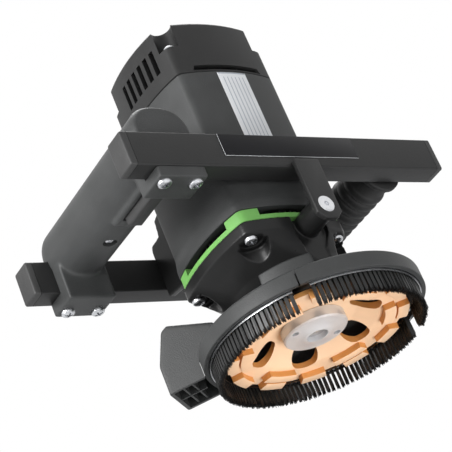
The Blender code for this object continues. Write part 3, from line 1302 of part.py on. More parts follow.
def knuckle_levels():
    middle = (HOOD_RIM_Z + HOOD_TOP_Z) / 2
    low, high = middle - KNUCKLE_HEIGHT / 2, middle + KNUCKLE_HEIGHT / 2
    return HOOD_RIM_Z, low, high, HOOD_TOP_Z


def hood_knuckles(piece, parent, side, own_levels, other_levels, offset=(0.0, 0.0, 0.0)):
    """Fuse a piece's own hinge knuckles and clear the space that the other piece's knuckles turn in."""
    relief = KNUCKLE_RADIUS + RUN_GAP
    root = HOOD_RADIUS - HOOD_WALL / 2
    ends = sorted(GATE_END + side * reach / HOOD_RADIUS for reach in (TONGUE_NEAR, TONGUE_FAR))
    for i, (low, high) in enumerate(other_levels):
        bm = bmesh.new()
        add_turned(bm, [(relief, low - RUN_GAP), (relief, high + RUN_GAP)], WELL_FACETS,
                   x=GATE_PIVOT.x, y=GATE_PIVOT.y)
        combine(piece, make_cutter(f"{piece.name}_relief_{i}", bm, parent, offset))
    for i, (low, high) in enumerate(own_levels):
        bm = bmesh.new()
        add_turned(bm, [(KNUCKLE_RADIUS, low), (KNUCKLE_RADIUS, high)], WELL_FACETS,
                   x=GATE_PIVOT.x, y=GATE_PIVOT.y)
        combine(piece, make_cutter(f"{piece.name}_knuckle_{i}", bm, parent, offset), "UNION")
        bottom, top = low + FIT_GAP, high - FIT_GAP
        tongue = [(root, bottom), (GATE_PIVOT_RADIUS, bottom), (GATE_PIVOT_RADIUS, top), (root, top)]
        bm = bmesh.new()
        add_arc(bm, tongue, *ends)
        combine(piece, make_cutter(f"{piece.name}_tongue_{i}", bm, parent, offset), "UNION")
    bm = bmesh.new()
    bore = GATE_PIN_RADIUS + FIT_GAP
    add_turned(bm, [(bore, HOOD_RIM_Z - HOOD_WALL), (bore, HOOD_TOP_Z + HOOD_WALL)], SCREW_FACETS,
               x=GATE_PIVOT.x, y=GATE_PIVOT.y)
    combine(piece, make_cutter(f"{piece.name}_pin_bore", bm, parent, offset))


def make_hood(parent):
    bm = bmesh.new()
    add_turned(bm, hood_profile(), WHEEL_FACETS, closed=True)
    hood = make_piece("dust_hood", bm, "charcoal_plastic", parent)

    bm = bmesh.new()
    far = HOOD_RADIUS + HOOD_WALL
    sector = [(GATE_INNER_RADIUS, HOOD_RIM_Z - HOOD_WALL), (far, HOOD_RIM_Z - HOOD_WALL),
              (far, HOOD_TOP_Z + HOOD_WALL), (GATE_INNER_RADIUS, HOOD_TOP_Z + HOOD_WALL)]
    seam = GATE_SEAM / 2 / HOOD_RADIUS
    add_arc(bm, sector, GATE_START - seam, GATE_END + seam)
    combine(hood, make_cutter("gate_sector", bm, parent))

    bm = bmesh.new()
    half = DUCT_WIDTH / 2 - DUCT_WALL
    window = [Vector((DUCT_ROOT + DUCT_WALL, -half, 0)), Vector((HOOD_INNER_RADIUS, -half, 0)),
              Vector((HOOD_INNER_RADIUS, half, 0)), Vector((DUCT_ROOT + DUCT_WALL, half, 0))]
    levels = [Vector((0, 0, HOOD_TOP_Z - 2 * HOOD_WALL)), Vector((0, 0, HOOD_TOP_Z + 2 * HOOD_WALL))]
    add_loft(bm, [[point + level for point in window] for level in levels])
    bm.transform(Matrix.Rotation(DUCT_ANGLE, 4, "Z"))
    combine(hood, make_cutter("duct_window", bm, parent))

    bottom, low, high, top = knuckle_levels()
    outer_levels = ((bottom, low - FIT_GAP), (high + FIT_GAP, top))
    hood_knuckles(hood, parent, 1, outer_levels, ((low, high),))
    bm = bmesh.new()
    add_turned(bm, [(GATE_PIN_RADIUS, bottom), (GATE_PIN_RADIUS, top)], SCREW_FACETS,
               x=GATE_PIVOT.x, y=GATE_PIVOT.y)
    make_piece("gate_hinge_pin", bm, "bright_steel", parent)


def make_gate(pivot):
    roof_under = HOOD_TOP_Z - HOOD_WALL
    inner = GATE_INNER_RADIUS + FIT_GAP
    profile = [
        (HOOD_RADIUS, HOOD_RIM_Z),
        (HOOD_RADIUS, HOOD_TOP_Z - HOOD_EDGE),
        (HOOD_RADIUS - HOOD_EDGE, HOOD_TOP_Z),
        (inner, HOOD_TOP_Z),
        (inner, roof_under),
        (HOOD_INNER_RADIUS, roof_under),
        (HOOD_INNER_RADIUS, HOOD_RIM_Z),
    ]
    seam = GATE_SEAM / 2 / HOOD_RADIUS
    bm = bmesh.new()
    add_arc(bm, profile, GATE_START + seam, GATE_END - seam)
    gate = make_piece("hood_gate", bm, "charcoal_plastic", pivot, -GATE_PIVOT)
    bottom, low, high, top = knuckle_levels()
    outer_levels = ((bottom, low - FIT_GAP), (high + FIT_GAP, top))
    hood_knuckles(gate, pivot, -1, ((low, high),), outer_levels, -GATE_PIVOT)


def make_channel(name, start, end, parent, offset):
    roof = BACKING_TOP_Z + FIT_GAP
    profile = [
        (CHANNEL_INNER, HOOD_RIM_Z),
        (CHANNEL_INNER + CHANNEL_STRIP, HOOD_RIM_Z),
        (CHANNEL_INNER + CHANNEL_STRIP, roof),
        (CHANNEL_OUTER - CHANNEL_STRIP, roof),
        (CHANNEL_OUTER - CHANNEL_STRIP, HOOD_RIM_Z),
        (CHANNEL_OUTER, HOOD_RIM_Z),
        (CHANNEL_OUTER, roof + CHANNEL_STRIP),
        (CHANNEL_INNER, roof + CHANNEL_STRIP),
    ]
    bm = bmesh.new()
    add_arc(bm, profile, start, end)
    make_piece(name, bm, "bright_steel", parent, offset)


def make_bristles(name, start, end, tufts, parent, offset):
    """An arc of backing with rows of four-sided strands that end level in the plane the machine stands on."""
    def point(i, j, z):
        angle = start + (end - start) * i / tufts
        radius = BACKING_INNER + (BACKING_OUTER - BACKING_INNER) * j / STRAND_ROWS
        return Vector((radius * math.cos(angle), radius * math.sin(angle), z))

    bm = bmesh.new()
    grid = [[bm.verts.new(point(i, j, HOOD_RIM_Z)) for j in range(STRAND_ROWS + 1)] for i in range(tufts + 1)]
    roof = [[bm.verts.new(point(i, j, BACKING_TOP_Z)) for j in (0, STRAND_ROWS)] for i in range(tufts + 1)]
    for i in range(tufts):
        low, high = grid[i], grid[i + 1]
        bm.faces.new((low[0], high[0], roof[i + 1][0], roof[i][0]))
        bm.faces.new((low[-1], high[-1], roof[i + 1][1], roof[i][1]))
        bm.faces.new((roof[i][0], roof[i + 1][0], roof[i + 1][1], roof[i][1]))
        for j in range(STRAND_ROWS):
            cell = (low[j], high[j], high[j + 1], low[j + 1])
            middle = sum((vert.co for vert in cell), Vector()) / 4
            root = [bm.verts.new(middle.lerp(vert.co, STRAND_SHARE)) for vert in cell]
            tip = [bm.verts.new((vert.co.x, vert.co.y, -BRUSH_DROP)) for vert in root]
            for a in range(4):
                b = (a + 1) % 4
                bm.faces.new((cell[a], cell[b], root[b], root[a]))
                bm.faces.new((root[a], root[b], tip[b], tip[a]))
            bm.faces.new(tip)
    for i in (0, tufts):
        bm.faces.new([*grid[i], roof[i][1], roof[i][0]])
    make_piece(name, bm, "bristle", parent, offset)


def make_brush_ring(root, pivot):
    turn = 2 * math.pi
    gap = 2 * FIT_GAP / BACKING_INNER
    runs = (
        ("brush", GATE_END - turn, GATE_START, FIXED_BRUSHES, FIXED_TUFTS, root, Vector()),
        ("gate_brush", GATE_START, GATE_END, GATE_BRUSHES, GATE_TUFTS, pivot, -GATE_PIVOT),
    )
    for name, first, last, arcs, tufts, parent, offset in runs:
        start, end = first + BRUSH_END_GAP, last - BRUSH_END_GAP
        make_channel(f"{name}_channel", start, end, parent, offset)
        span = (end - start) / arcs
        for i in range(arcs):
            low = start + i * span
            make_bristles(f"{name}_bristles_{i + 1}", low + gap, low + span - gap, tufts, parent, offset)


# Dust duct
def make_duct(parent):
    turn = Matrix.Rotation(DUCT_ANGLE, 4, "Z")
    head = DUCT_REACH - DUCT_LEAN
    outline = [
        (DUCT_ROOT, HOOD_TOP_Z),
        (DUCT_ROOT, DUCT_ROOT_Z),
        (head - DUCT_CORNER, DUCT_HEAD_Z),
        (head, DUCT_HEAD_Z - DUCT_CORNER / 2),
        (DUCT_REACH, DUCT_KNEE_Z),
        (DUCT_REACH, DUCT_FOOT_Z),
        (DUCT_ROOT, DUCT_FOOT_Z),
    ]
    half = DUCT_WIDTH / 2
    bm = bmesh.new()
    add_prism(bm, outline, "Y", -half, half)
    bm.transform(turn)
    duct = make_piece("dust_duct", bm, "charcoal_plastic", parent)

    bm = bmesh.new()
    envelope = [(r + FIT_GAP, z) for r, z in hood_profile()[1:5]]
    lifted = [(r, z + FIT_GAP) for r, z in envelope[1:]]
    foot = (HOOD_RADIUS + FIT_GAP, HOOD_RIM_Z - 2 * DUCT_FOOT_Z)
    add_turned(bm, [foot, envelope[0], *lifted], WHEEL_FACETS)
    combine(duct, make_cutter("hood_envelope", bm, parent))

    wall = DUCT_WALL
    bm = bmesh.new()
    add_prism(bm, [
        (DUCT_ROOT + wall, HOOD_RIM_Z - wall),
        (DUCT_ROOT + wall, DUCT_ROOT_Z - wall),
        (head - DUCT_CORNER - wall / 2, DUCT_HEAD_Z - wall),
        (head - wall, DUCT_HEAD_Z - DUCT_CORNER / 2 - wall),
        (DUCT_REACH - wall, DUCT_KNEE_Z - wall / 4),
        (DUCT_REACH - wall, HOOD_RIM_Z - 2 * wall),
        (HOOD_RADIUS + wall, HOOD_RIM_Z - 2 * wall),
        (HOOD_RADIUS + wall, HOOD_RIM_Z - wall),
    ], "Y", wall - half, half - wall)
    bm.transform(turn)
    combine(duct, make_cutter("duct_hollow", bm, parent))

    seat = turn @ about_y(SOCKET_REACH, SOCKET_Z)
    bore = SOCKET_RADIUS - SOCKET_WALL
    bm = bmesh.new()
    add_turned(bm, [(bore + FIT_GAP, -half - wall), (bore + FIT_GAP, -half + 2 * wall)])
    bm.transform(seat)
    combine(duct, make_cutter("socket_hole", bm, parent))
    face = -half - FIT_GAP
    end = face - SOCKET_LENGTH
    bm = bmesh.new()
    add_turned(bm, [(bore, end), (SOCKET_RADIUS, end), (SOCKET_RADIUS, face), (bore, face)], closed=True)
    bm.transform(seat)
    make_piece("hose_socket", bm, "cap_plastic", parent)


def build():
    frame = make_empty("tool_frame", location=TOOL_ORIGIN)
    spindle = make_empty("spindle_axis", frame)
    armature = make_empty("armature_axis", frame, (MOTOR_X, 0.0, 0.0))
    trigger = make_empty("trigger_pivot", frame, (HANDLE_X, TRIGGER_PIVOT_Y, TRIGGER_PIVOT_Z))
    gate = make_empty("gate_pivot", frame, GATE_PIVOT)

    make_wheel(spindle)
    make_nut(spindle)
    make_spindle(spindle)
    make_gear("drive_gear", GEAR_TEETH, math.pi / GEAR_TEETH, GEAR_SEAT_RADIUS + FIT_GAP, GEAR_Z,
              GEAR_Z + GEAR_WIDTH, spindle)

    make_gear_housing(frame)
    make_bearing_plate(frame)
    make_air_ring(frame)
    make_motor_housing(frame)
    make_motor_cover(frame)
    make_motor_works(frame, armature)

    front_bar = make_bar("front_bar", FRONT_BAR_Y, frame)
    rear_bar = make_bar("rear_bar", REAR_BAR_Y, frame)
    make_end_caps(frame)
    make_front_arm(frame)
    make_rear_bracket(frame, rear_bar)
    make_handle_upper(frame)
    lower = make_handle_lower(frame)
    make_clamp_screws(frame, lower, (front_bar, rear_bar))
    make_trigger(frame, trigger)
    make_grip(frame)

    make_hood(frame)
    make_gate(gate)
    make_brush_ring(frame, gate)
    make_duct(frame)


clear_scene()
MATERIALS = {name: make_finish(name) for name in FINISHES}
build()
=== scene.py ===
"""Looks of a hand-held surface grinder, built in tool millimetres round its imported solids."""

import math
import random

import bmesh
import bpy
from mathutils import Matrix, Vector


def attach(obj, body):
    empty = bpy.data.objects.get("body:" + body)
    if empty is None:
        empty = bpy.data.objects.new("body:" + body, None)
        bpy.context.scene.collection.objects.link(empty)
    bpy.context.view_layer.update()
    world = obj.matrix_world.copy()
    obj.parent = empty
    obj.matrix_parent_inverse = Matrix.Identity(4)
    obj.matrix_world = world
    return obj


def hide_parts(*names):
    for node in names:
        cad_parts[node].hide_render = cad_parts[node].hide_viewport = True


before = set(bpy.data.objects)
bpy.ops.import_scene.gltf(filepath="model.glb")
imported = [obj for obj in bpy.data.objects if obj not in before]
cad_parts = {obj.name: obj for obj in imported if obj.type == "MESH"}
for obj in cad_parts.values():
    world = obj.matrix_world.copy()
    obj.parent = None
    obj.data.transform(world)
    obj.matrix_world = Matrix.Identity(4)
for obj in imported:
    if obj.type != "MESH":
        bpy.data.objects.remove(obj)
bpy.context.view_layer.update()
random.seed(11)

# Tool frame: spindle on Z, working face of the wheel at Z 0
ORIGIN = Vector((14.6, -11.85, 9.0))
MM = 0.001
TO_WORLD = Matrix.Scale(MM, 4) @ Matrix.Translation(ORIGIN)
FIT = 0.3
SHARP_DEGREES = 38.0

# Motor casing and cover
MOTOR_X = -17.5
SIDE_BOW = 5.6
CORNER_RADIUS = 6.0
EDGE_BREAK = 0.4
BODY_HALF = 43.9
SKIRT_HALF, SKIRT_BAND, SKIRT_EASE = 45.0, 3.5, 10.5
BORE = 40.9
MOTOR_Z, MOTOR_TOP = 73.6, 183.6
COVER_Z, COVER_TOP = 183.9, 225.9
COVER_CROWN, COVER_ROOF, COVER_EDGE = 3.0, 6.0, 0.5
NOTCH_HALF, NOTCH_SEAT, NOTCH_RADIUS = 34.2, 206.5, 7.2
VENT_Y, VENT_PITCH, VENT_COUNT, VENT_HALF = -5.6, 7.3, 6, 2.0
VENT_LOW, VENT_HIGH = 194.6, 213.4
VENT_REACH = (22.0, 88.0)
SLIT_HALF, SLIT_TAPER, SLIT_BACK_Y = 27.5, 1.5, -37.9
LABEL_X, LABEL_Z = (-28.9, -6.0), (96.0, 182.3)
RULE_X, RULE_PITCH, RULE_COUNT, RULE_WIDTH = -25.5, 3.1, 6, 0.5
RULE_Z = (122.0, 178.5)

# Air ring and gear casting
RING_Z, RING_TOP = 64.6, 73.3
RING_HALF, RING_BORE, WINDOW_HALF, WINDOW_SILL = 44.6, 37.0, 26.0, 3.3
# A near-black sheet just inside the ring's bore: painted shade seen through the windows.
SHADE_SHEET_IN, SHADE_SHEET_OUT = 36.0, 36.6
FIN_COUNT, FIN_OUT, FIN_HALF = 60, 39.5, 0.5
CORNER_SHARE = 0.56
NOSE_Z, SHOULDER_Z, SKIRT_Z, GEARBOX_TOP = 22.0, 31.5, 56.3, 64.3
NOSE_RADIUS, NECK_STEP = 35.5, 5.5
FLANGE_LIP = 0.3
FLANGE_SCREW_HALF, FLANGE_SEAT = 34.5, 10.2
WELL_RADIUS = 8.2
BOWL_RADIUS, BOWL_TAPER, BOWL_SHIFT, BOWL_ROOF = 11.0, 0.4, 0.6, 3.6
BOSS_X, BOSS_Z, BOSS_RADIUS, BOSS_ROOT_Y = -9.2, 59.7, 8.7, -34.0
BOSS_WEB_HALF, BOSS_WEB_Y = 8.4, -48.0
VALLEY_Y = -40.2
SHAFT_HOLE, BEARING_SEAT, PLATE_SEAT = 11.8, 20.3, 38.5
GEAR_ROOM, GEAR_ROOM_X = 22.4, -6.4
SEAT_Z, GEAR_Z, PLATE_SEAT_Z = 26.0, 38.6, 53.3
ARM_HOLE = 3.3

# Frame and handles
BAR_DEPTH, BAR_EDGE, BAR_WALL = 16.3, 1.4, 2.0
FRONT_Y = -61.5
FRONT_IN_Y = FRONT_Y + BAR_DEPTH
REAR_Y = 77.8
REAR_OUT_Y = REAR_Y + BAR_DEPTH
BAR_LOW, BAR_TOP = 91.4, 116.4
BAR_LEFT, BAR_RIGHT = -135.2, 106.0
CAP, CAP_PLUG = 5.0, 8.0
# The last number is the width of the painted highlight strips along the name plate's lower and left edges.
PLATE_X, PLATE_Z, PLATE_HIGHLIGHT_WIDTH = (-68.5, 39.5), (98.7, 115.5), 0.28
ARM_HALF, ARM_TOE, ARM_CHAMFER, ARM_LAP, ARM_THICK = 9.75, 11.0, 5.0, 3.2, 4.3
WING_IN, WING_OUT, WEB_HALF, BOLT_HOLE = 15.5, 20.5, 18.0, 4.3
HANDLE_X, HANDLE_Z = -104.0, 119.5
HANDLE_HALF, HANDLE_RISE, HANDLE_POWER, HANDLE_WALL = 20.0, 20.5, 2.4, 3.0
HANDLE_LOW = 99.0
HANDLE_ENDS = (FRONT_Y + 3.5, REAR_OUT_Y - 4.5)
GLAND_RISE = 6.5
BLOCK_LOW = 80.9
BLOCK_LOWS = (84.2, 82.0)
BLOCK_HALF = 17.7
BLOCK_SCREW_X, BLOCK_SCREW_INSET = 11.5, BAR_DEPTH / 2
SHELL_SCREW_Y = 32.4
TRIGGER_Y, TRIGGER_HALF, TRIGGER_DROP, TRIGGER_GAP = (-34.5, 3.0), 5.0, 8.2, 0.8
TRIGGER_PIN_Y, TRIGGER_PIN_Z, TRIGGER_PIN_HOLE = -30.0, 103.5, 1.8
GRIP_X, GRIP_Z = 72.0, 103.9
GRIP_BORE, GRIP_RADIUS, RIB_HEIGHT, RIB_COUNT = 10.3, 13.9, 1.6, 13

# Hood, gate and brush ring
HOOD_RADIUS, HOOD_WALL, HOOD_EDGE = 76.2, 3.0, 2.0
HOOD_INNER = HOOD_RADIUS - HOOD_WALL
HOOD_RIM, HOOD_TOP = 5.8, 17.3
GATE_INNER, GATE_SEAM = 68.0, 0.55
GATE_START, GATE_END = math.radians(228.4), math.radians(345.0)
PIVOT, PIVOT_RADIUS = Vector((76.89, -20.60, 0.0)), 79.6
LUG_START, LUG_END = math.radians(204.0), math.radians(246.0)
BRUSH_IN, BRUSH_OUT = 67.3, 71.5
BRUSH_MIDDLE = (BRUSH_IN + BRUSH_OUT) / 2
BRUSH_END_GAP, BACKING_GAP = math.radians(4.6), 0.004
CHANNEL_ROOF, CHANNEL_WALL, CHANNEL_LIP = 8.9, 0.8, 1.5
TUFT_PITCH, STRANDS = 3.4, 30
TIP_Z = -9.0
DUCT_ANGLE, DUCT_HALF, DUCT_IN_HALF = math.radians(129.5), 18.5, 16.0
DUCT_NEAR, DUCT_RIB_HALF = 58.5, 0.6
SOCKET_X, SOCKET_Z, SOCKET_BORE = 81.5, 32.0, 12.0

# Cup wheel and nut
WHEEL_RADIUS, WHEEL_INNER, WHEEL_BORE = 62.5, 43.5, 11.1
WHEEL_FACE, SEGMENT_ROOT, SEGMENT_DEPTH = 4.2, 5.8, 8.0
INNER_ROW_RADIUS = 53.5
HOLE_CIRCLE, HOLE_RADIUS, HOLE_COUNT = 37.0, 9.4, 6
HOLE_TURN = math.radians(8.0)
NUT_BORE, NUT_RADIUS = 7.3, 21.9
PIN_HOLE_X, PIN_HOLE_RADIUS = 17.1, 2.4

# Camera as fitted to the photo: places in metres, lens and sensor in millimetres
CAMERA_AXES = ((0.8058, -0.48, -0.3467), (-0.0069, 0.5779, -0.8161), (0.5921, 0.66, 0.4624))
CAMERA_PLACE = Vector((-0.6934, -0.76142, -0.42717))
LENS, SENSOR = 139.4, 36.0
TARGET = Vector((0.0, 0.0, 0.1))

UPSIDE_DOWN = Matrix.Rotation(math.pi, 4, "X")


# Rings
def polar(radius, turn, z=0.0):
    return Vector((radius * math.cos(turn), radius * math.sin(turn), z))


def ring(radius, z, facets=96, x=0.0, y=0.0):
    turns = [2 * math.pi * i / facets for i in range(facets)]
    return [Vector((x + radius * math.cos(t), y + radius * math.sin(t), z)) for t in turns]


def squircle(half_x, half_y, power, z, x=0.0, y=0.0, points=104):
    loop = []
    for i in range(points):
        turn = 2 * math.pi * i / points
        c, s = math.cos(turn), math.sin(turn)
        loop.append(Vector((x + half_x * math.copysign(abs(c) ** (2 / power), c),
                            y + half_y * math.copysign(abs(s) ** (2 / power), s), z)))
    return loop


def casing(half, z, side=10, bend=6):
    """A square with bowed sides and rounded corners about the motor axis."""
    chord = half - SIDE_BOW
    bow = (chord ** 2 + SIDE_BOW ** 2) / (2 * SIDE_BOW)
    centre = half - bow
    corner = (centre + math.sqrt(2 * (bow - CORNER_RADIUS) ** 2 - centre ** 2)) / 2
    span = math.atan2(corner, corner - centre)
    half_pi = math.pi / 2
    quarter = []
    for i in range(side):
        turn = span * i / side
        quarter.append((centre + bow * math.cos(turn), bow * math.sin(turn)))
    for i in range(bend):
        turn = span + (half_pi - 2 * span) * i / bend
        quarter.append((corner + CORNER_RADIUS * math.cos(turn), corner + CORNER_RADIUS * math.sin(turn)))
    for i in range(side):
        turn = half_pi - span + span * i / side
        quarter.append((bow * math.cos(turn), centre + bow * math.sin(turn)))
    loop = []
    for _ in range(4):
        loop += [Vector((MOTOR_X + x, y, z)) for x, y in quarter]
        quarter = [(-y, x) for x, y in quarter]
    return loop


def bore(radius, z):
    """A circle about the motor axis whose points face those of the casing rings."""
    loop = []
    for point in casing(BODY_HALF, z):
        turn = math.atan2(point.y, point.x - MOTOR_X)
        loop.append(Vector((MOTOR_X + radius * math.cos(turn), radius * math.sin(turn), z)))
    return loop


# Mesh building
def loft(bm, rings, closed=False):
    loops = [[bm.verts.new(point) for point in points] for points in rings]
    pairs = list(zip(loops, loops[1:]))
    if closed:
        pairs.append((loops[-1], loops[0]))
    for low, high in pairs:
        for i in range(len(low)):
            j = (i + 1) % len(low)
            bm.faces.new((low[i], low[j], high[j], high[i]))
    if not closed:
        bm.faces.new(reversed(loops[0]))
        bm.faces.new(loops[-1])


def turned(bm, profile, facets=96, closed=False, x=0.0, y=0.0):
    loft(bm, [ring(radius, z, facets, x, y) for radius, z in profile], closed)


def arc(bm, profile, start, end, step=math.radians(2.0)):
    steps = math.ceil((end - start) / step)
    rings = []
    for i in range(steps + 1):
        turn = start + (end - start) * i / steps
        rings.append([polar(r, turn, z) for r, z in profile])
    loft(bm, rings)


def prism(bm, outline, axis, low, high):
    place = {
        "X": lambda p, d: Vector((d, p[0], p[1])),
        "Y": lambda p, d: Vector((p[0], d, p[1])),
        "Z": lambda p, d: Vector((p[0], p[1], d)),
    }[axis]
    loft(bm, [[place(point, depth) for point in outline] for depth in (low, high)])


def box(bm, x, y, z):
    prism(bm, [(x[0], y[0]), (x[1], y[0]), (x[1], y[1]), (x[0], y[1])], "Z", z[0], z[1])


def about_y(x, z):
    """Turns a piece drawn up the Z axis so that it runs along +Y through the given point."""
    return Matrix.Translation((x, 0.0, z)) @ Matrix.Rotation(-math.pi / 2, 4, "X")


def new():
    return bmesh.new()


def corners(half, x=0.0):
    return [(x + half, half), (x - half, half), (x - half, -half), (x + half, -half)]


def linked(name, data):
    obj = bpy.data.objects.new(name, data)
    bpy.context.scene.collection.objects.link(obj)
    return obj


def solid(bm):
    bmesh.ops.recalc_face_normals(bm, faces=bm.faces[:])
    mesh = bpy.data.meshes.new("work")
    bm.to_mesh(mesh)
    bm.free()
    return linked("work", mesh)


def settled(obj):
    """The object's mesh with its modifiers applied; the object itself goes."""
    graph = bpy.context.evaluated_depsgraph_get()
    mesh = bpy.data.meshes.new_from_object(obj.evaluated_get(graph))
    bm = new()
    bm.from_mesh(mesh)
    bpy.data.meshes.remove(mesh)
    drop(obj)
    return bm


def drop(obj):
    mesh = obj.data
    bpy.data.objects.remove(obj)
    bpy.data.meshes.remove(mesh)


def carved(bm, cutter, operation="DIFFERENCE"):
    target, tool = solid(bm), solid(cutter)
    modifier = target.modifiers.new("cut", "BOOLEAN")
    modifier.operation = operation
    modifier.solver = "EXACT"
    modifier.object = tool
    result = settled(target)
    drop(tool)
    return result


def cut_box(bm, x, y, z):
    cut = new()
    box(cut, x, y, z)
    return carved(bm, cut)


def drilled(bm, profile, facets, matrix):
    """Cuts a turned hollow that the matrix sets in place."""
    cut = new()
    turned(cut, profile, facets)
    cut.transform(matrix)
    return carved(bm, cut)


def cast(bm, voxel, rounds, keep=0.4):
    """Fuses overlapping solids and rounds their edges and inner corners as a casting's are."""
    obj = solid(bm)
    remesh = obj.modifiers.new("remesh", "REMESH")
    remesh.mode = "VOXEL"
    remesh.voxel_size = voxel
    smooth = obj.modifiers.new("smooth", "SMOOTH")
    smooth.factor = 0.5
    smooth.iterations = rounds
    decimate = obj.modifiers.new("decimate", "DECIMATE")
    decimate.ratio = keep
    return settled(obj)


def edged(bm, width, segments=3, angle=40.0):
    """Rounds the edges that are sharper than the given angle."""
    obj = solid(bm)
    bevel = obj.modifiers.new("edge", "BEVEL")
    bevel.width = width
    bevel.segments = segments
    bevel.limit_method = "ANGLE"
    bevel.angle_limit = math.radians(angle)
    return settled(obj)


def publish(name, bm, finish, body="frame", nodes=(), sharp=SHARP_DEGREES):
    """Hands a mesh to its body, the frame unless another is given, with its finish as its material."""
    bmesh.ops.recalc_face_normals(bm, faces=bm.faces[:])
    bm.transform(TO_WORLD)
    mesh = bpy.data.meshes.new(name)
    bm.to_mesh(mesh)
    bm.free()
    mesh.shade_smooth()
    mesh.set_sharp_from_angle(angle=math.radians(sharp))
    mesh.materials.append(LOOKS[finish])
    piece = linked(name, mesh)
    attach(piece, body)
    if nodes:
        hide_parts(*nodes)
    return piece


# Materials
def look(name, colour, rough, metallic=0.0, vary=0.18, mottle=45.0, grain=1400.0, depth=0.10, specular=0.5):
    """A finish whose tone and gloss wander a little, with a fine grain."""
    material = bpy.data.materials.new(name)
    material.use_nodes = True
    nodes, links = material.node_tree.nodes, material.node_tree.links
    shader = nodes["Principled BSDF"]
    place = nodes.new("ShaderNodeTexCoord")
    tone = nodes.new("ShaderNodeTexNoise")
    tone.inputs["Scale"].default_value = mottle
    tone.inputs["Detail"].default_value = 4.0
    links.new(place.outputs["Object"], tone.inputs["Vector"])
    ramp = nodes.new("ShaderNodeValToRGB")
    ramp.color_ramp.elements[0].position = 0.3
    ramp.color_ramp.elements[1].position = 0.7
    ramp.color_ramp.elements[0].color = (*[c * (1 - vary) for c in colour], 1.0)
    ramp.color_ramp.elements[1].color = (*[min(1.0, c * (1 + vary)) for c in colour], 1.0)
    links.new(tone.outputs["Fac"], ramp.inputs["Fac"])
    links.new(ramp.outputs["Color"], shader.inputs["Base Color"])
    gloss = nodes.new("ShaderNodeMapRange")
    gloss.inputs["To Min"].default_value = max(0.05, rough - 0.06)
    gloss.inputs["To Max"].default_value = min(1.0, rough + 0.06)
    links.new(tone.outputs["Fac"], gloss.inputs["Value"])
    links.new(gloss.outputs["Result"], shader.inputs["Roughness"])
    fine = nodes.new("ShaderNodeTexNoise")
    fine.inputs["Scale"].default_value = grain
    fine.inputs["Detail"].default_value = 2.0
    links.new(place.outputs["Object"], fine.inputs["Vector"])
    bump = nodes.new("ShaderNodeBump")
    bump.inputs["Strength"].default_value = depth
    bump.inputs["Distance"].default_value = 0.0004
    links.new(fine.outputs["Fac"], bump.inputs["Height"])
    links.new(bump.outputs["Normal"], shader.inputs["Normal"])
    shader.inputs["Metallic"].default_value = metallic
    shader.inputs["Specular IOR Level"].default_value = specular
    return material


def wheel_look():
    """Satin copper, painted pale on the level faces as painted light and a darker brown on the sides of the
    segments as painted shade.
    """
    material = look("wheel_copper_look", (0.88, 0.65, 0.45), rough=0.42, metallic=0.10, vary=0.06,
                    mottle=30.0, grain=1100.0, depth=0.12)
    nodes, links = material.node_tree.nodes, material.node_tree.links
    shader = nodes["Principled BSDF"]
    place = next(node for node in nodes if node.bl_idname == "ShaderNodeTexCoord")
    ramp = next(node for node in nodes if node.bl_idname == "ShaderNodeValToRGB")
    # The faces' tilt sets the colour: level faces keep the pale copper as painted light, the sides turn
    # darker brown as painted shade.
    split = nodes.new("ShaderNodeSeparateXYZ")
    links.new(place.outputs["Normal"], split.inputs["Vector"])
    level = nodes.new("ShaderNodeMath")
    level.operation = "ABSOLUTE"
    links.new(split.outputs["Z"], level.inputs[0])
    share = nodes.new("ShaderNodeMapRange")
    share.inputs["From Min"].default_value = 0.3
    share.inputs["From Max"].default_value = 0.7
    links.new(level.outputs["Value"], share.inputs["Value"])
    mix = nodes.new("ShaderNodeMix")
    mix.data_type = "RGBA"
    # Darker brown for the segment sides: painted shade.
    mix.inputs[6].default_value = (0.68, 0.31, 0.09, 1.0)
    links.new(share.outputs["Result"], mix.inputs[0])
    links.new(ramp.outputs["Color"], mix.inputs[7])
    links.new(mix.outputs[2], shader.inputs["Base Color"])
    return material


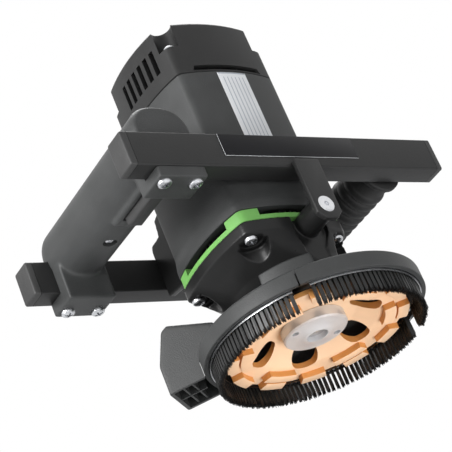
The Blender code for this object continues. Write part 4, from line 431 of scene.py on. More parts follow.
FINISHES = {
    "charcoal_plastic": dict(colour=(0.030, 0.031, 0.031), rough=0.50, depth=0.40, specular=0.30),
    "cover_plastic": dict(colour=(0.014, 0.014, 0.014), rough=0.46, depth=0.20, specular=0.24),
    "black_casting": dict(colour=(0.011, 0.011, 0.011), rough=0.30, vary=0.10, grain=500.0, specular=0.20),
    "green_plastic": dict(colour=(0.115, 0.290, 0.072), rough=0.45, vary=0.08, depth=0.06, specular=0.30),
    "black_paint": dict(colour=(0.013, 0.013, 0.013), rough=0.44, vary=0.10, grain=700.0, depth=0.15,
                        specular=0.28),
    "cap_plastic": dict(colour=(0.026, 0.026, 0.026), rough=0.50, depth=0.15, specular=0.30),
    "grip_rubber": dict(colour=(0.009, 0.009, 0.009), rough=0.55, depth=0.15, specular=0.28),
    "zinc_steel": dict(colour=(0.62, 0.63, 0.65), rough=0.28, metallic=1.0, vary=0.10, mottle=90.0,
                       grain=900.0, depth=0.06),
    "bright_steel": dict(colour=(0.70, 0.71, 0.73), rough=0.24, metallic=1.0, vary=0.08, mottle=90.0,
                         grain=900.0, depth=0.05),
    "gear_steel": dict(colour=(0.35, 0.35, 0.36), rough=0.35, metallic=1.0, vary=0.15, mottle=80.0,
                       grain=700.0, depth=0.08),
    "nut_aluminium": dict(colour=(0.66, 0.68, 0.71), rough=0.32, metallic=0.35, vary=0.05, mottle=70.0,
                          grain=1200.0, depth=0.08),
    "winding_copper": dict(colour=(0.60, 0.28, 0.12), rough=0.40, metallic=0.8),
    "lamination": dict(colour=(0.18, 0.18, 0.19), rough=0.50, metallic=0.8),
    "carbon": dict(colour=(0.025, 0.025, 0.025), rough=0.70),
    "bristle": dict(colour=(0.010, 0.010, 0.010), rough=0.45, depth=0.05, specular=0.35),
    "plate_gloss": dict(colour=(0.005, 0.005, 0.006), rough=0.24, vary=0.10, depth=0.02, specular=0.16),
    # Pale grey for the name plate's edge strips: painted highlights.
    "pale_edge_highlight": dict(colour=(0.46, 0.47, 0.48), rough=0.40, vary=0.06, depth=0.02),
    "label_white": dict(colour=(0.64, 0.65, 0.66), rough=0.45, vary=0.03, depth=0.02, specular=0.30),
    "label_blue": dict(colour=(0.26, 0.28, 0.33), rough=0.45, vary=0.05, depth=0.02, specular=0.30),
    # Near-black for the sheet inside the air ring: painted shade.
    "painted_void_shade": dict(colour=(0.004, 0.004, 0.004), rough=0.80, depth=0.05, specular=0.10),
}
LOOKS = {name: look(f"{name}_look", **finish) for name, finish in FINISHES.items()}
LOOKS["wheel_copper"] = wheel_look()


# Screws
def screw(name, matrix, radius, height, shank, reach, finish="zinc_steel", nodes=(), hexed=False, dome=0.55):
    """A pan-head screw along +Z: its head's seat at Z 0, its crown at -height, its shank rising to reach."""
    steps = 6
    profile = []
    for i in range(steps + 1):
        turn = math.pi / 2 * i / steps
        drop_z = height * (1 - dome + dome * math.cos(turn))
        profile.append((max(0.05, radius * math.sin(turn)), -drop_z))
    profile += [(radius, 0.0), (shank, 0.0), (shank, reach)]
    bm = new()
    turned(bm, profile, 36)
    cut = new()
    if hexed:
        turned(cut, [(radius * 0.50, -height * 1.5), (radius * 0.50, -height * 0.35)], 6)
    else:
        arm, half = radius * 0.62, radius * 0.13
        box(cut, (-arm, arm), (-half, half), (-height * 1.5, -height * 0.35))
        cross = new()
        box(cross, (-half, half), (-arm, arm), (-height * 1.5, -height * 0.35))
        bm = carved(bm, cross)
    bm = carved(bm, cut)
    bm.transform(matrix)
    return publish(name, bm, finish, nodes=nodes)


def at(x, y, z, turn=0.0):
    return Matrix.Translation((x, y, z)) @ Matrix.Rotation(turn, 4, "Z")


# Motor casing
def make_motor():
    bm = new()
    waist, steps = MOTOR_Z + SKIRT_BAND, 8
    rings = [casing(SKIRT_HALF - EDGE_BREAK, MOTOR_Z), casing(SKIRT_HALF, MOTOR_Z + EDGE_BREAK),
             casing(SKIRT_HALF, waist)]
    for i in range(1, steps + 1):
        ease = 0.5 - 0.5 * math.cos(math.pi * i / steps)
        rings.append(casing(SKIRT_HALF + (BODY_HALF - SKIRT_HALF) * ease, waist + SKIRT_EASE * i / steps))
    rings += [casing(BODY_HALF, MOTOR_TOP - COVER_EDGE), casing(BODY_HALF - COVER_EDGE, MOTOR_TOP),
              bore(BORE, MOTOR_TOP), bore(BORE, MOTOR_Z)]
    loft(bm, rings, closed=True)
    publish("motor_casing", bm, "charcoal_plastic", nodes=("motor_housing",))


def make_cover():
    bm = new()
    steps = 6
    rings = [casing(BODY_HALF - COVER_EDGE, COVER_Z), casing(BODY_HALF, COVER_Z + COVER_EDGE)]
    for i in range(steps + 1):
        turn = math.pi / 2 * i / steps
        rings.append(casing(BODY_HALF - COVER_CROWN * (1 - math.cos(turn)),
                            COVER_TOP - COVER_CROWN * (1 - math.sin(turn))))
    loft(bm, rings)
    cut = new()
    loft(cut, [bore(BORE, COVER_Z - 3), bore(BORE, COVER_TOP - COVER_ROOF)])
    bm = carved(bm, cut)
    cut = new()
    for x, y in corners(NOTCH_HALF, MOTOR_X):
        turned(cut, [(NOTCH_RADIUS, NOTCH_SEAT), (NOTCH_RADIUS, COVER_TOP + 3)], 40, x=x, y=y)
    bm = carved(bm, cut)
    cut = new()
    for side in (-1, 1):
        reach = sorted(MOTOR_X + side * out for out in VENT_REACH)
        for i in range(VENT_COUNT):
            y = VENT_Y + (i - (VENT_COUNT - 1) / 2) * VENT_PITCH
            left, right = y - VENT_HALF, y + VENT_HALF
            vent = [(left, VENT_LOW), (right, VENT_LOW), (right, VENT_HIGH), (left, VENT_HIGH)]
            prism(cut, vent, "X", *reach)
    low, high, narrow = COVER_Z + 1, COVER_Z + 5, SLIT_HALF - SLIT_TAPER
    slit = [(MOTOR_X - SLIT_HALF, low), (MOTOR_X + SLIT_HALF, low), (MOTOR_X + narrow, high),
            (MOTOR_X - narrow, high)]
    prism(cut, slit, "Y", -50.0, SLIT_BACK_Y)
    bm = carved(bm, cut)
    publish("motor_cap", bm, "cover_plastic", nodes=("motor_cover",), sharp=30)
    for i, (x, y) in enumerate(corners(NOTCH_HALF, MOTOR_X)):
        screw(f"cover_screw_{i + 1}", at(x, y, NOTCH_SEAT + 0.05, 0.5 + i) @ UPSIDE_DOWN, radius=4.0,
              height=3.0, shank=1.9, reach=12.0)


def make_air_ring():
    bm = new()
    narrow = RING_HALF - EDGE_BREAK
    loft(bm, [casing(narrow, RING_Z), casing(RING_HALF, RING_Z + EDGE_BREAK),
              casing(RING_HALF, RING_TOP - EDGE_BREAK), casing(narrow, RING_TOP),
              bore(RING_BORE, RING_TOP), bore(RING_BORE, RING_Z)], closed=True)
    window = (RING_Z + WINDOW_SILL, RING_TOP + 5)
    bm = cut_box(bm, (MOTOR_X - 90, MOTOR_X + 90), (-WINDOW_HALF, WINDOW_HALF), window)
    bm = cut_box(bm, (MOTOR_X - WINDOW_HALF, MOTOR_X + WINDOW_HALF), (-90, 90), window)
    publish("air_ring_green", bm, "green_plastic", nodes=("air_ring",))
    # A near-black sheet inside the bore, seen through the windows: painted shade where the ring's inside lies
    # in shadow.
    bm = new()
    low, high = RING_Z + 0.2, RING_TOP - 0.2
    loft(bm, [bore(SHADE_SHEET_IN, low), bore(SHADE_SHEET_OUT, low), bore(SHADE_SHEET_OUT, high), bore(SHADE_SHEET_IN, high)],
         closed=True)
    publish("air_ring_shade_sheet", bm, "painted_void_shade")
    bm = new()
    for i in range(FIN_COUNT):
        turn = 2 * math.pi * (i + 0.5) / FIN_COUNT
        out = polar(1, turn)
        if min(abs(out.x), abs(out.y)) > CORNER_SHARE:
            continue
        side = Vector((-out.y, out.x, 0)) * FIN_HALF
        near = Vector((MOTOR_X, 0, 0)) + out * RING_BORE
        far = Vector((MOTOR_X, 0, 0)) + out * FIN_OUT
        foot = [near - side, far - side, far + side, near + side]
        loft(bm, [[p + Vector((0, 0, z)) for p in foot] for z in (RING_Z + WINDOW_SILL + FIT, high)])
    publish("air_ring_fins", bm, "black_casting")


def make_gear_housing():
    rise = SKIRT_Z - SHOULDER_Z
    neck = NOSE_RADIUS + NECK_STEP
    breast = (neck + SKIRT_HALF) / 2
    bm = new()
    loft(bm, [
        squircle(NOSE_RADIUS, NOSE_RADIUS, 2.0, NOSE_Z),
        squircle(NOSE_RADIUS, NOSE_RADIUS, 2.0, SHOULDER_Z),
        squircle(neck, neck, 2.0, SHOULDER_Z + 0.2),
        squircle(neck, neck, 2.3, SHOULDER_Z + rise * 0.3, MOTOR_X * 0.3),
        squircle(breast, breast, 3.0, SHOULDER_Z + rise * 0.7, MOTOR_X * 0.7),
        casing(SKIRT_HALF + FLANGE_LIP, SKIRT_Z),
        casing(SKIRT_HALF + FLANGE_LIP, GEARBOX_TOP),
    ])
    bowls, wells = new(), new()
    for x, y in corners(FLANGE_SCREW_HALF, MOTOR_X):
        side_x, side_y = math.copysign(1, x - MOTOR_X), math.copysign(1, y)
        turned(wells, [(WELL_RADIUS, NOSE_Z - 2), (WELL_RADIUS, GEARBOX_TOP - FLANGE_SEAT)], 40, x=x, y=y)
        turned(bowls, [(BOWL_RADIUS, NOSE_Z - 3), (BOWL_RADIUS - BOWL_TAPER, SKIRT_Z - BOWL_ROOF)], 44,
               x=x - BOWL_SHIFT * side_x, y=y - BOWL_SHIFT * side_y)
    for hollow in (bowls, wells):
        bm = carved(bm, hollow)
    valley = new()
    half_width = ((14.0, 68.0), (14.0, 54.0), (9.0, 44.0), (9.0, 33.0))
    outline = [(BOSS_X - x, z) for x, z in half_width] + [(BOSS_X + x, z) for x, z in reversed(half_width)]
    prism(valley, outline, "Y", -70.0, VALLEY_Y)
    bm = carved(bm, valley)
    boss = new()
    turned(boss, [(BOSS_RADIUS, FRONT_Y - 0.2), (BOSS_RADIUS, BOSS_ROOT_Y)], 48)
    boss.transform(about_y(BOSS_X, BOSS_Z))
    mesh = bpy.data.meshes.new("boss")
    boss.to_mesh(mesh)
    bm.from_mesh(mesh)
    boss.free()
    bpy.data.meshes.remove(mesh)
    box(bm, (BOSS_X - BOSS_WEB_HALF, BOSS_X + BOSS_WEB_HALF), (BOSS_WEB_Y, BOSS_ROOT_Y),
        (BOSS_Z - 2.0, GEARBOX_TOP - 0.2))
    bm = cast(bm, voxel=0.6, rounds=4)
    cut = new()
    rooms = (
        (SHAFT_HOLE, SHAFT_HOLE, 2.0, 0.0, NOSE_Z - 3, SEAT_Z),
        (BEARING_SEAT, BEARING_SEAT, 2.0, 0.0, SEAT_Z + 0.01, GEAR_Z),
        (GEAR_ROOM, BEARING_SEAT, 2.3, GEAR_ROOM_X, GEAR_Z + 0.01, PLATE_SEAT_Z),
        (PLATE_SEAT, PLATE_SEAT, 2.4, MOTOR_X, PLATE_SEAT_Z + 0.01, GEARBOX_TOP + 3),
    )
    rings = []
    for half_x, half_y, power, x, low, high in rooms:
        rings += [squircle(half_x, half_y, power, z, x) for z in (low, high)]
    loft(cut, rings)
    bm = carved(bm, cut)
    bm = drilled(bm, [(ARM_HOLE, FRONT_Y - 3), (ARM_HOLE, FRONT_Y + 12.5)], 24, about_y(BOSS_X, BOSS_Z))
    publish("gear_casting", bm, "black_casting", nodes=("gear_housing",), sharp=60)
    for i, (x, y) in enumerate(corners(FLANGE_SCREW_HALF, MOTOR_X)):
        screw(f"flange_screw_{i + 1}", at(x, y, GEARBOX_TOP - FLANGE_SEAT + FIT, 0.3 + i), radius=4.3,
              height=3.2, shank=2.2, reach=6.0)


# Frame
def bar_ring(x, y, inset, radius):
    """A bar's section with rounded corners, drawn in by the inset."""
    loop = []
    for cy, cz, start in ((y + BAR_DEPTH - inset, BAR_TOP - inset, 0), (y + inset, BAR_TOP - inset, 1),
                          (y + inset, BAR_LOW + inset, 2), (y + BAR_DEPTH - inset, BAR_LOW + inset, 3)):
        sy = -1 if start in (0, 3) else 1
        sz = -1 if start in (0, 1) else 1
        for i in range(5):
            turn = math.pi / 2 * (start + i / 4)
            loop.append(Vector((x, cy + sy * radius + radius * math.cos(turn),
                                cz + sz * radius + radius * math.sin(turn))))
    return loop


def make_frame():
    for name, y in (("front", FRONT_Y), ("rear", REAR_Y)):
        bm = new()
        loft(bm, [bar_ring(BAR_LEFT, y, 0.0, BAR_EDGE), bar_ring(BAR_RIGHT, y, 0.0, BAR_EDGE),
                  bar_ring(BAR_RIGHT, y, BAR_WALL, 0.6), bar_ring(BAR_LEFT, y, BAR_WALL, 0.6)], closed=True)
        publish(f"{name}_bar_tube", bm, "black_paint", nodes=(f"{name}_bar",), sharp=50)
        for hand, end, side in (("left", BAR_LEFT, -1), ("right", BAR_RIGHT, 1)):
            face, plug = end + side * FIT, BAR_WALL + 0.4
            bm = new()
            loft(bm, [bar_ring(end + side * CAP, y, 1.0, 1.2),
                      bar_ring(end + side * (CAP - 0.3), y, 0.4, 1.3),
                      bar_ring(end + side * (CAP - 1.0), y, 0.0, BAR_EDGE), bar_ring(face, y, 0.0, BAR_EDGE),
                      bar_ring(face, y, plug, 0.5), bar_ring(end - side * CAP_PLUG, y, plug, 0.5)])
            publish(f"{name}_{hand}_end_cap", bm, "cap_plastic", nodes=(f"{name}_bar_{hand}_cap",), sharp=50)


def make_arm():
    bm = new()
    left, right, toe, top = BOSS_X - ARM_HALF, BOSS_X + ARM_HALF, BOSS_Z - ARM_TOE, BAR_LOW + ARM_LAP
    face, heel = FRONT_Y - ARM_THICK, toe + ARM_CHAMFER
    outline = [(left, top), (left, heel), (left + ARM_CHAMFER, toe), (right - ARM_CHAMFER, toe),
               (right, heel), (right, top)]
    prism(bm, outline, "Y", face, FRONT_Y - FIT)
    countersink = [(ARM_HOLE, FRONT_Y + 3), (ARM_HOLE, FRONT_Y - 1.1), (6.5, face), (6.5, FRONT_Y - 9)]
    bm = drilled(edged(bm, 0.7), countersink, 40, about_y(BOSS_X, BOSS_Z))
    publish("arm_plate", bm, "black_paint", nodes=("front_arm",))
    bm = new()
    turned(bm, [(3.0, FRONT_Y + 12.2), (3.0, FRONT_Y - 1.1), (6.0, face + FIT), (5.6, face)], 40)
    cut = new()
    turned(cut, [(1.9, FRONT_Y - 9), (1.9, FRONT_Y - 2.8)], 6)
    bm = carved(bm, cut)
    bm.transform(about_y(BOSS_X, BOSS_Z))
    publish("arm_countersunk_screw", bm, "bright_steel", nodes=("arm_screw",))


def make_bracket():
    face = REAR_Y - FIT
    bm = new()
    wing = [(face + 3, 86.0), (face + 3, 114.0), (76.5, 125.2), (65.5, 126.3), (63.7, 137.8), (56.5, 140.7),
            (50.0, 144.0), (38.0, 144.0), (38.0, 84.0), (66.0, 84.0)]
    prism(bm, wing, "X", MOTOR_X - WING_OUT, MOTOR_X - WING_IN)
    prism(bm, wing, "X", MOTOR_X + WING_IN, MOTOR_X + WING_OUT)
    web = [(face + 3, 88.0), (face + 3, 121.0), (60.0, 123.0), (54.0, 136.0), (38.0, 137.0), (38.0, 88.0)]
    prism(bm, web, "X", MOTOR_X - WEB_HALF, MOTOR_X + WEB_HALF)
    bm = cast(bm, voxel=0.7, rounds=4)
    cut = new()
    loft(cut, [casing(SKIRT_HALF + FIT, 60), casing(SKIRT_HALF + FIT, 78), casing(BODY_HALF + FIT, 88),
               casing(BODY_HALF + FIT, 160)])
    bm = carved(bm, cut)
    bm = cut_box(bm, (-90, 60), (face, face + 30), (60, 160))
    turn = about_y(MOTOR_X, GRIP_Z)
    bm = drilled(bm, [(BOLT_HOLE, face - 17), (BOLT_HOLE, face + 10)], 32, turn)
    publish("bracket_casting", bm, "black_casting", nodes=("rear_bracket",), sharp=50)
    screw("bracket_bolt", turn @ at(0, 0, REAR_OUT_Y + FIT) @ UPSIDE_DOWN, radius=6.8, height=5.0, shank=4.0,
          reach=32.0, nodes=("rear_bracket_bolt",), hexed=True, dome=0.15)


# Plate and label
def make_plate():
    bm = new()
    box(bm, PLATE_X, (FRONT_Y - 0.35, FRONT_Y - 0.02), PLATE_Z)
    publish("name_plate", edged(bm, 0.15, 2), "plate_gloss")
    # Pale strips along the plate's lower and left edges: painted highlights where those edges catch the
    # light.
    bm = new()
    depth = (FRONT_Y - 0.5, FRONT_Y - 0.36)
    left, low = PLATE_X[0], PLATE_Z[0]
    box(bm, PLATE_X, depth, (low, low + PLATE_HIGHLIGHT_WIDTH))
    box(bm, (left, left + PLATE_HIGHLIGHT_WIDTH), depth, (low + 0.45, PLATE_Z[1]))
    publish("name_plate_painted_highlights", bm, "pale_edge_highlight")


def casing_strip(bm, x0, x1, z0, z1, lift, thick, steps=14):
    """A thin plate that lies on the front of the motor casing."""
    chord = BODY_HALF - SIDE_BOW
    bow = (chord ** 2 + SIDE_BOW ** 2) / (2 * SIDE_BOW)
    loops = []
    for i in range(steps + 1):
        x = x0 + (x1 - x0) * i / steps
        across = x - MOTOR_X
        out = [-(math.sqrt((bow + lift + t) ** 2 - across ** 2) + BODY_HALF - bow) for t in (0.0, thick)]
        loops.append([Vector((x, out[0], z0)), Vector((x, out[1], z0)), Vector((x, out[1], z1)),
                      Vector((x, out[0], z1))])
    loft(bm, loops)


def make_label():
    bm = new()
    casing_strip(bm, *LABEL_X, *LABEL_Z, 0.02, 0.15)
    publish("rating_label_blank", bm, "label_white")
    bm = new()
    casing_strip(bm, LABEL_X[0] + FIT, LABEL_X[1] - FIT, LABEL_Z[1] - 1.0, LABEL_Z[1] - FIT, 0.2, 0.06)
    for i in range(RULE_COUNT):
        x = RULE_X + RULE_PITCH * i
        casing_strip(bm, x, x + RULE_WIDTH, *RULE_Z, 0.2, 0.06, 2)
    publish("rating_label_rules", bm, "label_blue")


# Switch handle
def handle_section(inset, drop, upper, points=40):
    """The handle's outline above or below a level that lies the given drop under its axis."""
    half_width, half_height = HANDLE_HALF - inset, HANDLE_RISE - inset
    dip = math.asin((drop / half_height) ** 1.2)
    start, end = (-dip, math.pi + dip) if upper else (math.pi + dip, 2 * math.pi - dip)
    outline = []
    for i in range(points):
        turn = start + (end - start) * i / (points - 1)
        c, s = math.cos(turn), math.sin(turn)
        outline.append((HANDLE_X + half_width * math.copysign(abs(c) ** (2 / HANDLE_POWER), c),
                        HANDLE_Z + half_height * math.copysign(abs(s) ** (2 / HANDLE_POWER), s)))
    return outline


def flare(y):
    """The handle widens a little from its rear end to its front end."""
    return 1.06 - 0.12 * (y - FRONT_Y) / (REAR_OUT_Y - FRONT_Y)


def make_handle_top():
    seam = BAR_TOP + 0.04
    outer = handle_section(0.0, HANDLE_Z - seam, True)
    front, rear = HANDLE_ENDS
    stations = []
    for end, side, dome, blunt in ((front, 1, 5.0, 0.86), (rear, -1, 13.0, 0.55)):
        turns = [math.pi / 2 * i / 8 for i in range(9)]
        rounded = [(end + side * dome * (1 - math.cos(t)), blunt + (1 - blunt) * math.sin(t)) for t in turns]
        stations += rounded[::side]
    bm = new()
    loft(bm, [[Vector((HANDLE_X + (x - HANDLE_X) * s * flare(y), y, seam + (z - seam) * s)) for x, z in outer]
              for y, s in stations])
    cut = new()
    inner = handle_section(HANDLE_WALL, HANDLE_Z - seam, True)
    inner += [(inner[-1][0], seam - 3), (inner[0][0], seam - 3)]
    prism(cut, inner, "Y", front + 9, rear - 16)
    bm = carved(bm, cut)
    bm = drilled(bm, [(6.8, rear - 25), (6.8, rear + 9)], 32, about_y(HANDLE_X, HANDLE_Z + GLAND_RISE))
    publish("handle_top", bm, "charcoal_plastic", nodes=("handle_upper_shell",), sharp=50)


def make_handle_bottom():
    bm = new()
    outer = handle_section(-0.1, HANDLE_Z - BAR_TOP, False)
    outer += [(outer[-1][0], BAR_TOP + 8), (outer[0][0], BAR_TOP + 8)]
    loft(bm, [[Vector((HANDLE_X + (x - HANDLE_X) * flare(y), y, z)) for x, z in outer]
              for y in (FRONT_IN_Y - 8, REAR_Y + 8)])
    spans = ((FRONT_Y + 1.2, FRONT_IN_Y + 9.2), (REAR_Y - 9.2, REAR_OUT_Y - 1.2))
    for (low, high), bottom in zip(spans, BLOCK_LOWS):
        box(bm, (HANDLE_X - BLOCK_HALF, HANDLE_X + BLOCK_HALF), (low, high), (bottom - 0.3, BAR_TOP))
    box(bm, (HANDLE_X - 9.5, HANDLE_X + 9.5), (FRONT_IN_Y + 4, 12.0), (HANDLE_LOW - 2.0, BAR_TOP - 4))
    prism(bm, [(-38.0, 92.0), (-36.0, 88.0), (-31.0, 92.0), (-31.0, BAR_TOP - 6), (-38.0, BAR_TOP - 6)],
          "X", HANDLE_X - 15, HANDLE_X + 15)
    bm = cast(bm, voxel=0.8, rounds=20)
    cut = new()
    for y in ((FRONT_Y - 20, FRONT_IN_Y + FIT), (REAR_Y - FIT, REAR_OUT_Y + 20)):
        box(cut, (HANDLE_X - 40, HANDLE_X + 40), y, (BAR_LOW - FIT, BAR_TOP + 30))
    bm = carved(bm, cut)
    bm = cut_box(bm, (HANDLE_X - 45, HANDLE_X + 45), (FRONT_Y - 25, REAR_OUT_Y + 25), (BAR_TOP, BAR_TOP + 35))
    cut = new()
    inner = handle_section(HANDLE_WALL, HANDLE_Z - BAR_TOP, False)
    inner += [(inner[-1][0], BAR_TOP + 3), (inner[0][0], BAR_TOP + 3)]
    prism(cut, inner, "Y", FRONT_IN_Y + 10, REAR_Y - 10)
    bm = carved(bm, cut)
    cut = new()
    slot_half = TRIGGER_HALF + TRIGGER_GAP
    box(cut, (HANDLE_X - slot_half, HANDLE_X + slot_half), (TRIGGER_Y[0] - TRIGGER_GAP, TRIGGER_Y[1] + 1.8),
        (HANDLE_LOW - 12, HANDLE_LOW + 4.9))
    recess = (HANDLE_LOW - 6, HANDLE_LOW + 2.5)
    loft(cut, [squircle(5.2, 3.6, 2.4, z, HANDLE_X, SHELL_SCREW_Y, 48) for z in recess])
    for y in (FRONT_Y + BLOCK_SCREW_INSET, REAR_Y + BLOCK_SCREW_INSET):
        for x in (HANDLE_X - BLOCK_SCREW_X, HANDLE_X + BLOCK_SCREW_X):
            turned(cut, [(2.7, BLOCK_LOW - 4), (2.7, BAR_LOW + 4)], 24, x=x, y=y)
    bm = carved(bm, cut)
    publish("handle_bottom", bm, "charcoal_plastic", nodes=("handle_lower_shell",), sharp=45)
    for place, bar, bottom in (("front", FRONT_Y, BLOCK_LOWS[0]), ("rear", REAR_Y, BLOCK_LOWS[1])):
        y = bar + BLOCK_SCREW_INSET
        for hand, side in (("left", -1), ("right", 1)):
            seat = at(HANDLE_X + side * BLOCK_SCREW_X, y, bottom - 0.2, side * 0.4 + 0.3)
            screw(f"{place}_{hand}_pan_screw", seat, radius=4.6, height=3.0, shank=2.4,
                  reach=BAR_LOW + 5.5 - bottom, nodes=(f"{place}_{hand}_clamp_screw",))
    screw("handle_shell_screw", at(HANDLE_X, SHELL_SCREW_Y, HANDLE_LOW + 2.4, 0.6), radius=3.0, height=1.2,
          shank=1.7, reach=5.0)


def make_trigger():
    bm = new()
    front, rear = TRIGGER_Y
    low, high = HANDLE_LOW - TRIGGER_DROP, HANDLE_LOW + 7.5
    outline = [(front, high), (front, low + 5), (front + 1.5, low + 1.5), (front + 5, low), (rear - 1.7, low),
               (rear, low + 1.7), (rear, high)]
    prism(bm, outline, "X", HANDLE_X - TRIGGER_HALF, HANDLE_X + TRIGGER_HALF)
    bm = edged(bm, 1.1, 3, 50.0)
    pin = Matrix.Translation((HANDLE_X, TRIGGER_PIN_Y, TRIGGER_PIN_Z)) @ Matrix.Rotation(math.pi / 2, 4, "Y")
    bm = drilled(bm, [(TRIGGER_PIN_HOLE, -20.0), (TRIGGER_PIN_HOLE, 20.0)], 24, pin)
    publish("trigger_lever", bm, "cap_plastic", "trigger", ("trigger",))


def make_gland():
    bm = new()
    rear = HANDLE_ENDS[1]
    face = rear + FIT
    profile = [(3.8, rear - 12), (6.5, rear - 12), (6.5, face), (8.5, face), (8.5, face + 2)]
    for i in range(4):
        base = face + 2 + i * 2.0
        crest, root = 6.5 - i * 0.3, 5.6 - i * 0.3
        profile += [(crest, base), (crest, base + 1.0), (root, base + 1.2), (root, base + 1.8)]
    profile += [(5.2, face + 10), (3.8, face + 10)]
    turned(bm, profile, 40, closed=True)
    bm.transform(about_y(HANDLE_X, HANDLE_Z + GLAND_RISE))
    publish("cable_gland_boot", bm, "grip_rubber", nodes=("cable_gland",))


# Ribbed grip
def make_grip():
    start, end = FRONT_IN_Y + 1.8, REAR_Y - 1.8
    ribs_start, share_steps = start + 14.0, 8
    pitch = (end - ribs_start - 3.0) / RIB_COUNT
    profile = [(GRIP_BORE, start), (16.0, start), (16.8, start + 0.8), (16.8, start + 3.2),
               (16.0, start + 4.0), (14.2, start + 4.6)]
    for i in range(RIB_COUNT):
        base = ribs_start + i * pitch
        for k in range(share_steps):
            share = k / share_steps
            wave = math.sin(math.pi * share) ** 0.6
            profile.append((GRIP_RADIUS + RIB_HEIGHT * wave, base + pitch * share))
    profile += [(GRIP_RADIUS, end - 3.0), (15.4, end - 2.6), (15.4, end - 0.5), (14.9, end), (GRIP_BORE, end)]
    bm = new()
    turned(bm, profile, 56, closed=True)
    bm.transform(about_y(GRIP_X, GRIP_Z))
    publish("grip_bellows", bm, "grip_rubber", nodes=("grip_sleeve",), sharp=60)


# Dust hood
def hood_edge():
    """The outer wall from the rim up, with the rounding at its top."""
    edge = [(HOOD_RADIUS - EDGE_BREAK, HOOD_RIM), (HOOD_RADIUS, HOOD_RIM + EDGE_BREAK)]
    for i in range(5):
        turn = math.pi / 2 * i / 4
        edge.append((HOOD_RADIUS - HOOD_EDGE + HOOD_EDGE * math.cos(turn),
                     HOOD_TOP - HOOD_EDGE + HOOD_EDGE * math.sin(turn)))
    return edge


def hood_outline():
    """The hood's whole section: wall, roof, collar, and back along the inside."""
    return [*hood_edge(), (52.0, HOOD_TOP + 1.3), (47.0, HOOD_TOP + 1.9), (41.5, HOOD_TOP + 4.0),
            (39.5, HOOD_TOP + 5.7), (39.5, 30.0), (38.5, 31.0), (35.8, 31.0), (35.8, HOOD_TOP + 2.7),
            (52.0, HOOD_TOP - 1.7), (HOOD_INNER, HOOD_TOP - HOOD_WALL), (HOOD_INNER, HOOD_RIM)]


def knuckles(bm, side, own, other):
    """Adds a leaf's own hinge barrels at the gate's end and clears room for the other leaf's."""
    cut = new()
    for low, high in other:
        turned(cut, [(5.0, low - 0.8), (5.0, high + 0.8)], 40, x=PIVOT.x, y=PIVOT.y)
    bm = carved(bm, cut)
    ends = sorted(GATE_END + side * reach / HOOD_RADIUS for reach in (1.3, 7.6))
    for low, high in own:
        tongue = new()
        root, foot, head = HOOD_RADIUS - 1.5, low + FIT, high - FIT
        arc(tongue, [(root, foot), (PIVOT_RADIUS, foot), (PIVOT_RADIUS, head), (root, head)], *ends)
        bm = carved(bm, tongue, "UNION")
        barrel = new()
        turned(barrel, [(3.9, low), (4.2, low + 0.3), (4.2, high - 0.3), (3.9, high)], 40,
               x=PIVOT.x, y=PIVOT.y)
        bm = carved(bm, barrel, "UNION")
    cut = new()
    turned(cut, [(2.1, HOOD_RIM - 3), (2.1, HOOD_TOP + 3)], 24, x=PIVOT.x, y=PIVOT.y)
    return carved(bm, cut)


def make_hood():
    bm = new()
    arc(bm, [(46.6, 19.6), (51.0, 18.8), (50.2, 35.8), (49.2, 36.9), (47.4, 36.9), (46.6, 36.2)],
        LUG_START, LUG_END)
    publish("hood_collar_lug", edged(bm, 0.6, 2, 60.0), "charcoal_plastic")
    middle = (HOOD_RIM + HOOD_TOP) / 2
    inner_levels = ((middle - 2.5, middle + 2.5),)
    outer_levels = ((HOOD_RIM, middle - 2.8), (middle + 2.8, HOOD_TOP))
    seam = GATE_SEAM / HOOD_RADIUS
    bm = new()
    turned(bm, hood_outline(), 160, closed=True)
    cut = new()
    arc(cut, [(GATE_INNER, HOOD_RIM - 3), (80, HOOD_RIM - 3), (80, HOOD_TOP + 3), (GATE_INNER, HOOD_TOP + 3)],
        GATE_START - seam, GATE_END + seam)
    bm = carved(bm, cut)
    cut = new()
    box(cut, (DUCT_NEAR, HOOD_INNER), (-DUCT_IN_HALF, DUCT_IN_HALF), (HOOD_TOP - 6, HOOD_TOP + 6))
    cut.transform(Matrix.Rotation(DUCT_ANGLE, 4, "Z"))
    bm = carved(bm, cut)
    bm = knuckles(bm, 1, outer_levels, inner_levels)
    publish("hood_shell", bm, "charcoal_plastic", nodes=("dust_hood",))

    bm = new()
    inside, ceiling = GATE_INNER + FIT, HOOD_TOP - HOOD_WALL
    arc(bm, [*hood_edge(), (inside, HOOD_TOP), (inside, ceiling), (HOOD_INNER, ceiling),
             (HOOD_INNER, HOOD_RIM)], GATE_START + seam, GATE_END - seam)
    bm = knuckles(bm, -1, inner_levels, outer_levels)
    publish("gate_shell", bm, "charcoal_plastic", "gate", ("hood_gate",))


def make_brushes():
    runs = (
        ("brush", GATE_END - 2 * math.pi + BRUSH_END_GAP, GATE_START - BRUSH_END_GAP, 5, "frame"),
        ("gate_brush", GATE_START + BRUSH_END_GAP, GATE_END - BRUSH_END_GAP, 3, "gate"),
    )
    for name, start, end, nodes, body in runs:
        bm = new()
        roof, lip = CHANNEL_ROOF, HOOD_RIM - CHANNEL_LIP
        near, far = BRUSH_IN - FIT, BRUSH_OUT + FIT
        arc(bm, [(near - CHANNEL_WALL, lip), (near, lip), (near, roof), (far, roof), (far, lip),
                 (far + CHANNEL_WALL, lip), (far + CHANNEL_WALL, roof + CHANNEL_WALL),
                 (near - CHANNEL_WALL, roof + CHANNEL_WALL)], start, end)
        publish(f"{name}_steel_channel", bm, "bright_steel", body, (f"{name}_channel",))
        make_tufts(name, start, end, nodes, body)


